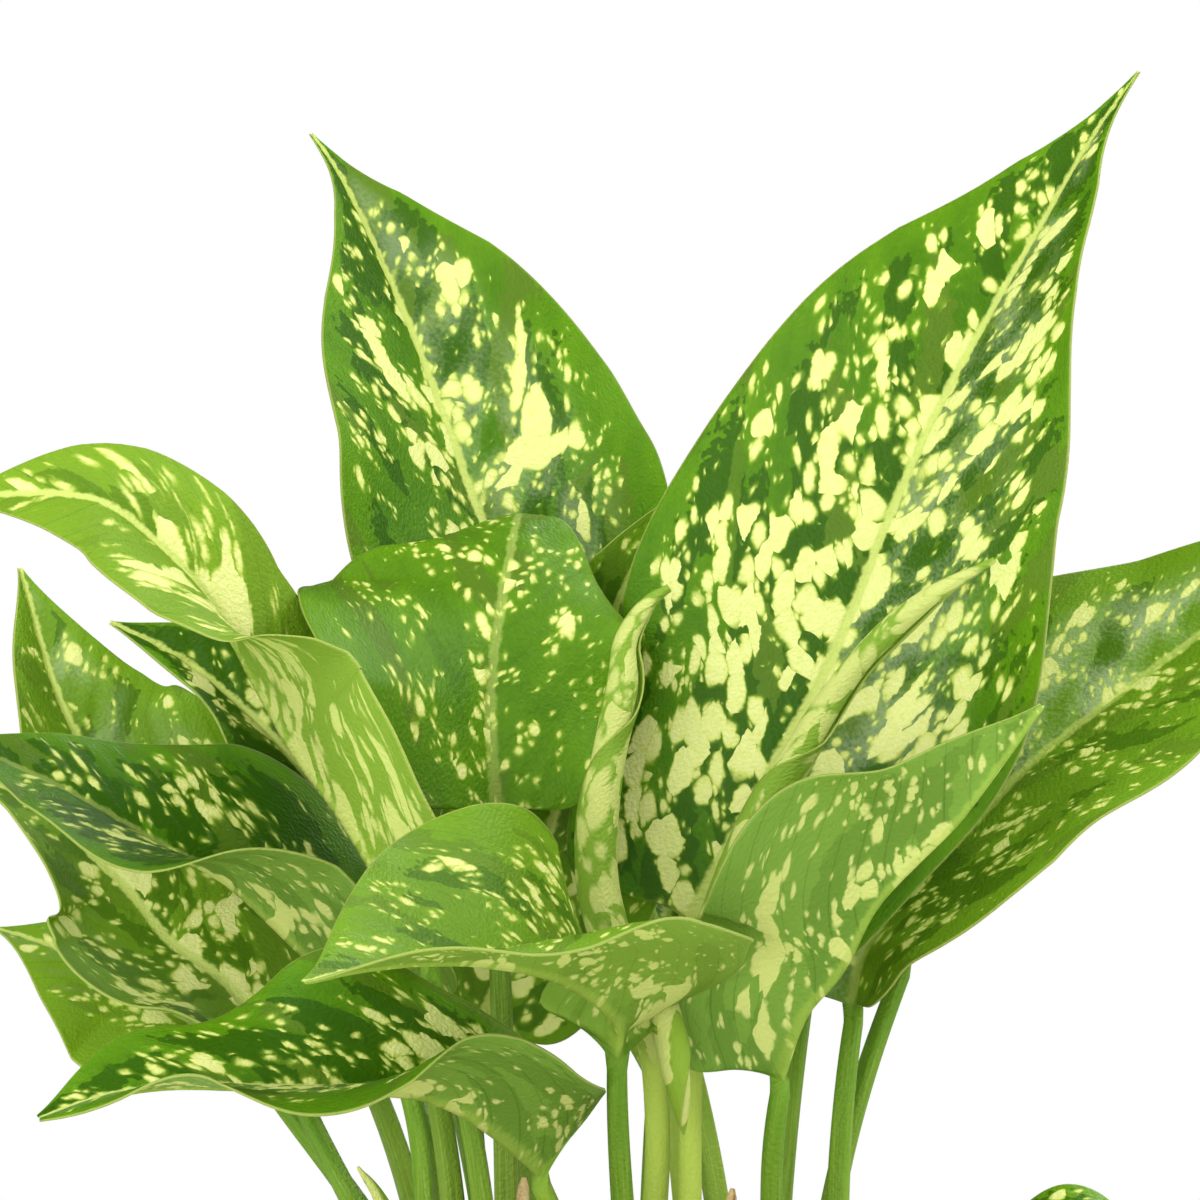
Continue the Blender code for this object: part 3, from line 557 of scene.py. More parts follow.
def stalk_rings(leaf, line):
    """Rings from the foot in the soil up to the blade."""
    stalk = petiole_line(leaf, line)
    share = np.concatenate([[0.0], np.linspace(0, 1, STALK_RINGS + 2)[:-1]])
    points = stalk.point(share)
    points[0, 2] = SOIL_TOP - HOLE_DEPTH
    tangents = stalk.direction(share)
    tangents[:2] = (0.0, 0.0, 1.0)
    radius = np.interp(share, [0, 1], [PETIOLE_FOOT_RADIUS, PETIOLE_TOP_RADIUS])
    up = faces_up(leaf, line, np.array([0.0]))[0]
    angle = ring_angles()[:, None]
    rings = []
    for place, point, tangent, size in reversed(list(zip(share, points, tangents, radius))):
        up = unit(up - up.dot(tangent) * tangent)
        right = np.cross(tangent, up)
        middle = point - place * PETIOLE_TOP_RADIUS * up
        sizes = channelled(size, CHANNEL_DEPTH * (1.0 - CHANNEL_FADE * place))[:, None]
        rings.append(middle + sizes * (np.cos(angle) * right + np.sin(angle) * up))
    return rings[::-1], stalk.length * (share - 1.0), radius


# %% Rings of a blade
LEAF_THICKNESS = 0.5
TIP_THINNING = 0.3
THIN_FROM = 0.8
RIB_GROOVE_DEPTH = 0.45
RIB_GROOVE_WIDTH = 1.1
RIB_TAPER = 0.6
RIB_MOST = 0.35
RIB_BULGE = 0.9


def blade_rings(leaf, line, rows):
    """Rings round the blade: its upper face, then its lower face with the raised rib."""
    top, looks = upper_face(leaf, line, rows, COLUMNS)
    at_rib, _, width = outline(leaf, rows)
    up = faces_up(leaf, line, at_rib)
    right = np.cross(line.direction(at_rib), up)
    spine = top[:, len(HALF_COLUMNS)]
    off = np.linalg.norm(top - spine[:, None], axis=2)
    rib = RIB_FOOT_RADIUS + (RIB_TIP_RADIUS - RIB_FOOT_RADIUS) * at_rib**RIB_TAPER
    rib = np.minimum(rib, RIB_MOST * np.maximum(width * min(leaf.half), TIP_HALF_WIDTH))[:, None]
    bulge = rib * np.exp(-((off / (RIB_BULGE * rib)) ** 2))
    groove = RIB_GROOVE_DEPTH * (1 - at_rib[:, None]) * np.exp(-((off / RIB_GROOVE_WIDTH) ** 2))
    thinning = TIP_THINNING * smoothstep((at_rib - THIN_FROM) / (1 - THIN_FROM))
    thick = LEAF_THICKNESS * (1 - thinning)[:, None, None]
    under = top - thick * looks - bulge[..., None] * up[:, None]
    over = top - groove[..., None] * up[:, None]
    blade = np.concatenate([over, under[:, ::-1]], axis=1)
    angle = ring_angles()[None, :, None]
    depth = CHANNEL_DEPTH * (1.0 - CHANNEL_FADE)
    sizes = channelled(PETIOLE_TOP_RADIUS, depth)[None, :, None]
    stalk = (spine - PETIOLE_TOP_RADIUS * up)[:, None] + sizes * (
        np.cos(angle) * right[:, None] + np.sin(angle) * up[:, None])
    mix = smoothstep(rows / NECK_SHARE)[:, None, None]
    return list(stalk * (1 - mix) + blade * mix), looks, off


# %% Meshes and their notes
def loft(rings):
    """One closed mesh through rings of equally many points, with a fan at either end."""
    size = len(rings[0])
    points = np.vstack(rings + [rings[0].mean(0)[None], rings[-1].mean(0)[None]])
    first, last = len(points) - 2, len(points) - 1
    faces = []
    for ring in range(len(rings) - 1):
        for k in range(size):
            a = ring * size + k
            b = ring * size + (k + 1) % size
            faces.append((a, b, b + size, a + size))
    end = (len(rings) - 1) * size
    for k in range(size):
        faces.append((first, (k + 1) % size, k))
        faces.append((last, end + k, end + (k + 1) % size))
    return points, faces


def plain_piece(name, points, faces):
    """A mesh object at the origin, its place in its mesh, in metres."""
    mesh = bpy.data.meshes.new(name)
    mesh.from_pydata([tuple(p) for p in np.asarray(points) * MM], [], [tuple(f) for f in faces])
    mesh.shade_smooth()
    piece = bpy.data.objects.new(name, mesh)
    bpy.context.scene.collection.objects.link(piece)
    return piece


def note(piece, name, values):
    """Keeps three numbers with each point of a piece."""
    kept = piece.data.attributes.new(name, "FLOAT_VECTOR", "POINT")
    kept.data.foreach_set("vector", np.asarray(values, np.float32).ravel())


def with_ends(table):
    """Values for every ring, then for the two middle points of its ends."""
    table = np.asarray(table, float)
    return np.vstack([table.reshape(-1, 3), table[0].mean(0)[None], table[-1].mean(0)[None]])


# %% A whole leaf with its notes
NECK_PAINT = 1.6


def fine_leaf(leaf):
    """Petiole and blade as one fine closed mesh that knows where each of its points lies."""
    line = Line(smooth_line(leaf.rib))
    rows = np.linspace(FIRST_ROW, LAST_ROW, FINE_ROWS)
    stalk, stalk_along, radius = stalk_rings(leaf, line)
    blade, looks, off = blade_rings(leaf, line, rows)
    points, faces = loft(stalk + blade)
    wide = len(COLUMNS)
    side = np.sign(COLUMNS)
    at_rib, at_margin, _ = outline(leaf, rows[:, None])
    along = (at_rib + (at_margin - at_rib) * np.abs(COLUMNS) ** SWEEP) * line.length
    over = np.stack([off * side, along, np.broadcast_to(np.abs(COLUMNS), off.shape)], axis=2)
    place = np.concatenate([over, over[:, ::-1]], axis=1)
    around = ring_angles()[None, :] * radius[:, None]
    stalk_place = np.stack([around, np.broadcast_to(stalk_along[:, None], around.shape),
                            0 * around], axis=2)
    neck = smoothstep(rows / (NECK_PAINT * NECK_SHARE))[:, None]
    under = np.concatenate([np.zeros(wide), np.ones(wide)])[None, :]
    kind = np.stack(np.broadcast_arrays(under, neck, rows[:, None]), axis=2)
    stalk_kind = np.zeros_like(stalk_place)
    stalk_kind[..., 0] = under
    directions = np.concatenate([looks, looks[:, ::-1]], axis=1)
    piece = plain_piece("fine_" + leaf.name, points, faces)
    note(piece, "place", with_ends(np.concatenate([stalk_place, place])))
    note(piece, "kind", with_ends(np.concatenate([stalk_kind, kind])))
    note(piece, "looks", with_ends(np.concatenate([np.zeros_like(stalk_place), directions])))
    return piece, line.length


print("each leaf gets", FINE_ROWS, "rows of", len(COLUMNS), "points on either face")

# %% [markdown]
# ## Veins in relief
# On the real blade the side veins sink a little into the upper face and the skin between them
# stands up in shallow cushions. A bump map would fake that, but the light skims these leaves,
# so the relief is real. Geometry Nodes suit it: one tree moves every point along the way its
# upper face looks, by a formula of where the point lies, and all leaves share the tree.

# %% Tools for geometry trees
KINDS = {"float": "NodeSocketFloat", "int": "NodeSocketInt", "geometry": "NodeSocketGeometry",
         "material": "NodeSocketMaterial"}


def geometry_tree(name, inputs):
    """A new geometry tree: its bench, and its named inputs as wires."""
    tree = bpy.data.node_groups.new(name, "GeometryNodeTree")
    for title, kind in inputs.items():
        tree.interface.new_socket(name=title, in_out="INPUT", socket_type=KINDS[kind])
    tree.interface.new_socket(name="Geometry", in_out="OUTPUT", socket_type=KINDS["geometry"])
    bench = Bench(tree)
    start = tree.nodes.new("NodeGroupInput")
    return bench, {title: Wire(bench, start.outputs[title]) for title in inputs}


def end_tree(bench, geometry, material):
    """Every tree ends alike: real geometry, one material, out."""
    real = bench.node("GeometryNodeRealizeInstances", None, {0: geometry})
    painted = bench.node("GeometryNodeSetMaterial", None, {"Geometry": real, "Material": material})
    out = bench.tree.nodes.new("NodeGroupOutput")
    bench.tree.links.new(painted.socket, out.inputs[0])


def run_tree(piece, tree, values):
    """Runs a tree on a piece, keeps the result as its plain mesh and drops the modifier.

    A value goes in by its socket's identifier, before the piece is first evaluated.
    """
    tool = piece.modifiers.new(tree.name, "NODES")
    tool.node_group = tree
    for socket in tree.interface.items_tree:
        if socket.in_out == "INPUT" and socket.name in values:
            tool[socket.identifier] = values[socket.name]
    view = bpy.context.evaluated_depsgraph_get()
    mesh = bpy.data.meshes.new_from_object(
        piece.evaluated_get(view), preserve_all_data_layers=True, depsgraph=view)
    piece.modifiers.remove(tool)
    piece.data = mesh
    return piece


def noted(bench, name):
    """A vector that each point keeps under a name, for a geometry tree."""
    return bench.node("GeometryNodeInputNamedAttribute", {"data_type": "FLOAT_VECTOR"},
                      {"Name": name})


# %% The relief tree
VEIN_SPACING = 8.0
VEIN_SLOPE = 1.25
VEIN_BEND = 0.014
VEIN_WANDER = 5.0
WANDER_SIZE = 22.0
LANE_LIFT = 200.0
CUSHION_HEIGHT = 0.4
WRINKLE_HEIGHT = 0.12
WRINKLE_SIZE = 3.0
UNEVENNESS = 0.5
SWELL_SIZE = 16.0
RELIEF_LEAVES_RIB = (0.03, 0.2)
RELIEF_MEETS_MARGIN = (0.8, 1.0)
RELIEF_MEETS_TIP = (0.85, 0.98)


def vein_lane(away, along):
    """Which lane between side veins a place is in: veins leave the rib and bend to the tip."""
    return along - VEIN_SLOPE * away - VEIN_BEND * away * away


def relief_tree():
    """Cushions between the veins, wrinkles on them, and slow unevenness."""
    bench, given = geometry_tree("blade relief", {
        "Geometry": "geometry", "Cushion height": "float", "Vein spacing": "float",
        "Wrinkle height": "float", "Unevenness": "float", "Seed": "float",
        "Material": "material"})
    across, along, reach = bench.parts(noted(bench, "place"))
    _, blade, share = bench.parts(noted(bench, "kind"))
    away = abs(across)
    wander = bench.noise(bench.vector(along, across, given["Seed"]), WANDER_SIZE) * VEIN_WANDER
    half_lane = given["Vein spacing"] * 0.5
    between_veins = (vein_lane(away, along) + wander + LANE_LIFT).zigzag(half_lane) / half_lane
    cushion = (between_veins * (math.pi / 2)).sine() * given["Cushion height"]
    fade = bench.ramp(reach, *RELIEF_LEAVES_RIB)
    fade = fade * (1.0 - bench.ramp(reach, *RELIEF_MEETS_MARGIN)) * blade
    fade = fade * (1.0 - bench.ramp(share, *RELIEF_MEETS_TIP))
    wrinkle = bench.noise(bench.vector(along, across * 0.5, given["Seed"]), WRINKLE_SIZE) - 0.5
    swell = bench.noise(bench.vector(across, along, given["Seed"]), SWELL_SIZE) - 0.5
    rise = (cushion + wrinkle * given["Wrinkle height"]) * fade
    rise = rise + swell * given["Unevenness"] * blade
    shift = bench.stretched(noted(bench, "looks"), rise * MM)
    moved = bench.node("GeometryNodeSetPosition", None, {
        "Geometry": given["Geometry"], "Offset": shift})
    end_tree(bench, moved, given["Material"])
    return bench.tree


blade_relief = relief_tree()
print("relief tree has", len(blade_relief.nodes), "nodes")

# %% [markdown]
# ## The blade's skin
# Seen close, the upper side is deep green with darker patches that run along the side veins,
# and over them cream-yellow spots where the leaf makes no green at all: big merged blotches
# near the midrib, smaller ones and dots towards the margin. Painting them by hand would take
# a picture. Scattered cells do it by rule: each cell draws a spot whose size follows its own
# chance and a slow noise, stretched along the veins and ragged at its edge. The underside
# shows the same spots through a dull grey-green, and light passes through the thin blade.

# %% How spotted each leaf is
# spots and blotches: how many small and how many large ones. dark: the share of dark patches.
# light: how young and pale its green is. streak: below 1, spots are drawn out along the veins.
# soft: how blurred their edges are. rib: how pale the midrib is. silver: how strong a sheen
# painted in grey beside the rib is, on the right or, below 0, on the left. stalk: from deep green,
# 0, to yellow, 1.
Skin = namedtuple("Skin", "spots blotches dark light streak soft rib silver stalk seed",
                  defaults=[0.3, 0.4, 0.5, 0.1, 1.0, 0.35, 0.85, 0.0, 0.3, 0.0])
SKINS = {
    "leaf_tall_left": Skin(0.3, 0.45, 0.5, 0.0, silver=0.4, seed=3.0),
    "leaf_tall_right": Skin(0.34, 1.1, 0.65, -0.1, silver=0.5, stalk=0.8),
    "leaf_right": Skin(0.32, -0.2, 0.35, 0.3, rib=0.5, silver=-0.7, stalk=0.4),
    "leaf_front_right": Skin(0.5, -0.05, 0.45, 0.0, streak=0.8, stalk=0.3),
    "leaf_middle": Skin(0.26, -0.6, 0.0, 0.1, rib=0.3, stalk=0.2),
    "leaf_twisted_left": Skin(0.6, 0.6, 0.1, 0.6, 0.42, 0.45),
    "leaf_back_left": Skin(0.2, 0.0, 0.3, 0.35, silver=0.5),
    "leaf_small_left": Skin(0.25, 0.0, 0.8, 0.0),
    "leaf_left": Skin(0.36, 0.1, 0.5, -0.15, 0.7, rib=0.3),
    "leaf_low_left": Skin(0.4, 0.75, 0.5, 0.4, stalk=0.2),
    "leaf_low_back_left": Skin(0.3, 0.3, 0.1, 0.5),
    "leaf_front": Skin(0.4, 0.1, 0.45, 0.35, 0.8, stalk=0.2),
    "leaf_front_low": Skin(0.34, 0.1, 0.5, 0.0, 0.8, silver=-0.3, stalk=0.6),
    "leaf_back_middle": Skin(0.35, 0.45, 0.4, 0.2, stalk=0.0),
}
print(len(SKINS), "leaves have a skin of their own")

# %% The colours of a leaf
DEEP_GREEN = colour(58, 106, 4)
MID_GREEN = colour(90, 138, 8)
DARK_PATCH = colour(34, 78, 0)
OLIVE_PATCH = colour(84, 110, 28)
YOUNG_GREEN = colour(144, 174, 50)
CREAM = colour(246, 245, 164)
CREAM_DEEP = colour(222, 228, 116)
PALE_HALO = colour(150, 184, 48)
RIB_CREAM = colour(210, 222, 120)
# The grey of a painted sheen: a soft box's reflection beside the midrib, painted into the colour.
PAINTED_SHEEN = colour(172, 186, 146)
UNDER_GREEN = colour(116, 154, 56)
UNDER_DARK = colour(64, 104, 22)
UNDER_SPOT = colour(228, 232, 140)
MARGIN_LINE = colour(186, 186, 108)
PETIOLE_DEEP = colour(64, 104, 14)
PETIOLE_GREEN = colour(104, 146, 34)
PETIOLE_YELLOW = colour(168, 188, 78)
SHINE_THROUGH = colour(176, 204, 44)


# %% A place on the leaf, and the same place along its veins
LIFT = 400.0
OTHER_HALF = 370.0
SEED_STEP = 9.1
ALONG_VEINS = (0.62, 0.78)
LANE_WIDTH = 0.74
LANE_LENGTH = 0.85
RAGGED_SIZE = 1.6
RAGGED_LANE = 1.1
RAGGED_RUN = 0.6
DRIFT_SIZE = 7.0
DRIFT_SPREAD = 0.7
DRIFT_LANE = 5.0
DRIFT_RUN = 3.0
SLOW_SIZE = 13.0
SLOW_START = 90.0


def leaf_place(bench, skin, seed):
    """Where a point is on its leaf, and as lane and run where it is in the flow of the veins."""
    at = SimpleNamespace()
    at.across, at.along, at.reach = bench.noted("place")
    at.under, at.blade, at.share = bench.noted("kind")
    at.away = abs(at.across)
    at.start = at.across.over(0.0) * OTHER_HALF + seed * SEED_STEP
    at.plain_lane = vein_lane(at.away, at.along) + LIFT
    at.plain_run = at.away * ALONG_VEINS[0] + at.along * ALONG_VEINS[1] + LIFT
    at.ragged = bench.flat_noise(at.along + at.start, at.away, RAGGED_SIZE) - 0.5
    at.drift = bench.flat_noise(at.plain_lane * DRIFT_SPREAD + at.start, at.away * DRIFT_SPREAD,
                                DRIFT_SIZE, 0.0) - 0.5
    at.lane = ((at.plain_lane + at.drift * DRIFT_LANE) * LANE_WIDTH + at.ragged * RAGGED_LANE
               + at.start)
    at.run = (at.plain_run * (LANE_LENGTH * skin.streak) + at.drift * DRIFT_RUN
              - at.ragged * RAGGED_RUN)
    at.slow = bench.flat_noise(at.lane, at.run + SLOW_START, SLOW_SIZE) - 0.5
    return at


# %% Cream spots in three sizes
# Each layer: how wide a cell is in millimetres, how large its spots grow, and how many of its
# cells stay bare.
BLOTCHES = (5.6, 0.85, 0.1)
SPOTS = (3.3, 1.3, 0.5)
DOTS = (1.9, 1.8, 1.1)
LEAST_REACH = 0.1
BLOTCH_SWING = 5.0
SPOT_SWING = 2.4
SPOTS_EVERYWHERE = 0.1
MARGIN_POWER = 4.0
SPOTS_FROM_STALK = (0.0, 0.12)
SPOTS_TO_TIP = (0.75, 1.0)
LOST_AT_TIP = 0.6
HALO_WIDTH = 0.9


def spot_depth(bench, flow, layer, amount):
    """How deep inside a layer's spots a place is, in millimetres: below zero outside them."""
    size, most, thin = layer
    distance, chance = bench.cells(flow, size, "2D")
    reach = amount * (chance * most - thin)
    return (reach + reach.over(LEAST_REACH) - 1.0 - distance) * size


def cream_spots(bench, at, skin):
    """Notes how deep in the cream a place is, and how cream and how pale that makes it."""
    flow = bench.vector(at.lane, at.run, 0.0)
    room = 1.0 - at.reach**MARGIN_POWER
    room = room * (1.0 - bench.ramp(at.share, *SPOTS_TO_TIP) * LOST_AT_TIP)
    room = room * bench.ramp(at.share, *SPOTS_FROM_STALK)
    heavy = (at.slow * BLOTCH_SWING + skin.blotches) * room
    light = (at.slow * SPOT_SWING + skin.spots + SPOTS_EVERYWHERE) * room
    depth = spot_depth(bench, flow, BLOTCHES, heavy)
    depth = depth.at_least(spot_depth(bench, flow, SPOTS, light))
    at.depth = depth.at_least(spot_depth(bench, flow, DOTS, light))
    at.cream = bench.ramp(at.depth, -skin.soft, skin.soft)
    at.halo = bench.ramp(at.depth, -HALO_WIDTH, 0.0)


# %% Dark patches and veins
PATCH_SIZE = 7.0
PATCH_LENGTH = 0.4
CAMOUFLAGE_SIZE = 3.0
CAMOUFLAGE_START = 50.0
CAMOUFLAGE_LANE = 5.0
CAMOUFLAGE_RUN = 3.0
DARK_EDGE = 0.01
DARK_TO_MARGIN = 0.9
RAGGED_MARGIN = 0.2
GREY_CHANCE = (0.14, 0.16)
VEIN_DRIFT = 2.0
VEIN_WIDTH = 0.35


def dark_patches(bench, at, skin):
    """Notes where the blade is dark, where it is olive grey, and where its side veins run."""
    sway = bench.flat_noise(at.lane, at.run + CAMOUFLAGE_START, CAMOUFLAGE_SIZE) - 0.5
    patch = bench.vector(at.lane + sway * CAMOUFLAGE_LANE,
                         at.run * PATCH_LENGTH + sway * CAMOUFLAGE_RUN, 0.0)
    _, chance = bench.cells(patch, PATCH_SIZE, "2D")
    towards_margin = (at.reach + at.ragged * RAGGED_MARGIN) ** 6.0
    threshold = 1.0 - skin.dark + towards_margin * DARK_TO_MARGIN
    at.dark = bench.ramp(chance - threshold, -DARK_EDGE, DARK_EDGE)
    at.grey = 1.0 - bench.ramp(chance, *GREY_CHANCE)
    lane = at.plain_lane - LIFT + LANE_LIFT + at.drift * VEIN_DRIFT
    at.veins = 1.0 - bench.ramp(lane.zigzag(VEIN_SPACING * 0.5), 0.0, VEIN_WIDTH)


# %% A petiole's colour
PETIOLE_LENGTH = 90.0
STREAK_WIDTH = 3.0
STREAK_LENGTH = 0.06
STREAK_STRENGTH = 1.2
PALE_FOOT = 0.5
TONE_AT_FOOT = 0.3
TONE_TO_BLADE = 0.6


def mixed_colour(first, second, share):
    """Two colours mixed in Python, where no node is needed."""
    return tuple(a + (b - a) * share for a, b in zip(first, second))


def stalk_colour(bench, at, skin):
    """A petiole: deep green to yellow-green by leaf, in fine streaks, palest at its foot."""
    streaks = bench.flat_noise(at.across * STREAK_WIDTH, at.along * STREAK_LENGTH, 1.0) - 0.5
    height = bench.ramp(at.along, -PETIOLE_LENGTH, 0.0)
    tone = mixed_colour(PETIOLE_DEEP, PETIOLE_GREEN, min(1.0, skin.stalk * 2))
    tone = mixed_colour(tone, PETIOLE_YELLOW, max(0.0, skin.stalk * 2 - 1))
    pale = mixed_colour(tone, PETIOLE_YELLOW, PALE_FOOT)
    share = height * TONE_TO_BLADE + streaks * STREAK_STRENGTH + TONE_AT_FOOT
    return bench.tint(pale, tone, share)


# %% The greens of the upper side
GREEN_TONE = {"start": 0.35, "slow": 1.2, "ragged": 0.4, "margin": 0.5}
YOUNG_SHARE = 0.75
DARK_SHARE = 0.85
DARK_LOST_WHEN_YOUNG = 0.7
OLIVE_SHARE = 0.75
VEIN_SHARE = 0.35
HALO_SHARE = 0.35
# Where the painted sheen lies: from the rib outwards, fading before the margin, in clouds.
SHEEN_FROM_RIB = (0.0, 1.5)
SHEEN_TO_MARGIN = (0.35, 0.85)
SHEEN_CLOUDS = (-0.45, 0.45)


def painted_sheen_clouds(bench, at, skin, crease):
    """Where a painted sheen lies on one half of the blade beside the rib, in soft clouds."""
    beside_rib = at.across * math.copysign(1.0, skin.silver)
    bloom = bench.ramp(beside_rib, *SHEEN_FROM_RIB)
    bloom = bloom * (1.0 - bench.ramp(at.reach, *SHEEN_TO_MARGIN))
    return bloom * bench.ramp(at.slow * 2.0 + crease * 0.8, *SHEEN_CLOUDS)


def green_ground(bench, at, skin, crease):
    """The greens under the spots: base, patches, veins, a painted grey sheen and pale halos."""
    young = max(0.0, skin.light)
    tone = (at.slow * GREEN_TONE["slow"] + at.ragged * GREEN_TONE["ragged"]
            + at.reach**3.0 * GREEN_TONE["margin"] + (GREEN_TONE["start"] + skin.light))
    base = bench.tint(DEEP_GREEN, MID_GREEN, tone)
    base = bench.tint(base, YOUNG_GREEN, at.blade * (YOUNG_SHARE * young))
    base = bench.tint(base, DARK_PATCH, at.dark * (DARK_SHARE - DARK_LOST_WHEN_YOUNG * young))
    base = bench.tint(base, OLIVE_PATCH, at.grey * (OLIVE_SHARE * (1 - young)))
    base = bench.tint(base, UNDER_DARK, at.veins * VEIN_SHARE)
    # Painted sheen: grey laid into the colour beside the rib, standing in for a reflection.
    if skin.silver:
        bloom = painted_sheen_clouds(bench, at, skin, crease)
        base = bench.tint(base, PAINTED_SHEEN, bloom * abs(skin.silver))
    return bench.tint(base, PALE_HALO, at.halo * HALO_SHARE)


# %% The whole leaf's colour
RIB_WIDTH = 2.0
RIB_NARROWING = 1.3
RIB_RAGGED = 1.2
RIB_BLUR = 0.2
CREAM_TONE = {"start": 0.2, "depth": 0.7, "ragged": 0.8}
CREAM_FULL_DEPTH = 0.9
UNDER_DARK_SHARE = 0.35
UNDER_VEIN_SHARE = 0.5
UNDER_SPOT_SHARE = 0.85
UNDER_RIB_SHARE = 0.4
MARGIN_FROM = 0.99
MARGIN_SHARE = 0.5


def midrib(bench, at):
    """Where the pale midrib shows: it narrows towards the tip."""
    width = RIB_WIDTH - at.share * RIB_NARROWING + at.ragged * RIB_RAGGED
    return 1.0 - bench.ramp(at.away, width * 0.5, width + RIB_BLUR)


def leaf_colour(bench, at, skin, crease):
    """Upper side, underside, margin and petiole, one laid over the other."""
    rib = midrib(bench, at)
    full = bench.ramp(at.depth, 0.0, CREAM_FULL_DEPTH) * CREAM_TONE["depth"]
    full = full + at.ragged * CREAM_TONE["ragged"] + CREAM_TONE["start"]
    upper = green_ground(bench, at, skin, crease)
    upper = bench.tint(upper, bench.tint(CREAM_DEEP, CREAM, full), at.cream)
    upper = bench.tint(upper, RIB_CREAM, rib * skin.rib)
    darker = at.dark * UNDER_DARK_SHARE + at.veins * UNDER_VEIN_SHARE
    lower = bench.tint(UNDER_GREEN, UNDER_DARK, darker)
    lower = bench.tint(lower, YOUNG_GREEN, at.blade * (YOUNG_SHARE * max(0.0, skin.light)))
    lower = bench.tint(lower, UNDER_SPOT, at.cream * UNDER_SPOT_SHARE)
    lower = bench.tint(lower, PETIOLE_YELLOW, rib * UNDER_RIB_SHARE)
    blade = bench.tint(upper, lower, at.under)
    edge = bench.ramp(at.reach, MARGIN_FROM, 1.0)
    blade = bench.tint(blade, MARGIN_LINE, edge * MARGIN_SHARE * at.blade)
    return bench.tint(stalk_colour(bench, at, skin), blade, at.blade)


# %% The finish of a leaf
FINE_SIZE = 0.7
FINE_START = 200.0
FINE_LENGTH = 1.8
CREASE_SIZE = 0.9
CREASE_SPREAD = (0.6, 1.2)
CREASE_BUMP = (0.5, 0.0006)
LEAF_ROUGHNESS = {"least": 0.36, "fine": 0.16, "under": 0.2}
LEAF_GLOSS = 0.16
LIGHT_THROUGH = {"stalk": 0.03, "blade": 0.25, "cream": 0.12}


def leaf_material(name, skin, seed):
    """The finish of one leaf, or of a rolled young one: finely creased, and lit through."""
    material, bench = new_material(name)
    at = leaf_place(bench, skin, seed)
    cream_spots(bench, at, skin)
    dark_patches(bench, at, skin)
    fine = bench.flat_noise(at.across + FINE_START, at.along * FINE_LENGTH, FINE_SIZE)
    lane, run = (at.plain_lane + at.start) * CREASE_SPREAD[0], at.plain_run * CREASE_SPREAD[1]
    crease = bench.flat_noise(lane, run, CREASE_SIZE, 1.5)
    rough = (LEAF_ROUGHNESS["least"] + fine * LEAF_ROUGHNESS["fine"]
             + at.under * LEAF_ROUGHNESS["under"])
    shader = bench.node("ShaderNodeBsdfPrincipled", None, {
        "Base Color": leaf_colour(bench, at, skin, crease - 0.5), "Roughness": rough,
        "Specular IOR Level": LEAF_GLOSS, "Normal": bench.bump(crease, *CREASE_BUMP)})
    light_through = bench.node("ShaderNodeBsdfTranslucent", None, {"Color": SHINE_THROUGH})
    share = (LIGHT_THROUGH["blade"] + at.cream * LIGHT_THROUGH["cream"]) * at.blade
    share = share + LIGHT_THROUGH["stalk"]
    mixed = bench.node("ShaderNodeMixShader", None, {0: share, 1: shader, 2: light_through})
    return finished(material, bench, mixed)


# %% Grow and paint every leaf
LEAF_SEED = 11.0


def grown(leaf, number):
    """Grows, dresses and paints one leaf, and gives its blade's length."""
    piece, length = fine_leaf(leaf)
    skin = SKINS.get(leaf.name, Skin())
    seed = LEAF_SEED * number + skin.seed
    run_tree(piece, blade_relief, {
        "Cushion height": CUSHION_HEIGHT, "Vein spacing": VEIN_SPACING,
        "Wrinkle height": WRINKLE_HEIGHT, "Unevenness": UNEVENNESS, "Seed": seed,
        "Material": leaf_material(leaf.name + "_skin", skin, seed)})
    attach(piece, "root")
    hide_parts(leaf.name)
    return length


OPEN_LEAVES = [leaf for leaf in LEAVES if leaf.name != "leaf_young_right"]
lengths = [grown(leaf, number) for number, leaf in enumerate(OPEN_LEAVES)]
print("grew", len(lengths), "blades,", round(min(lengths)), "to", round(max(lengths)), "mm long")

# %% [markdown]
# ## Rolled young leaves
# A new leaf comes up rolled like a scroll, its pale underside outwards. One margin stays free
# and winds round the roll, with a dark crease under it. The section is a spiral whose last
# part runs in under its own lip, and where the lip points is read from a small table by
# height. Sweeping that section along a path is simpler here than rolling up a flat blade.

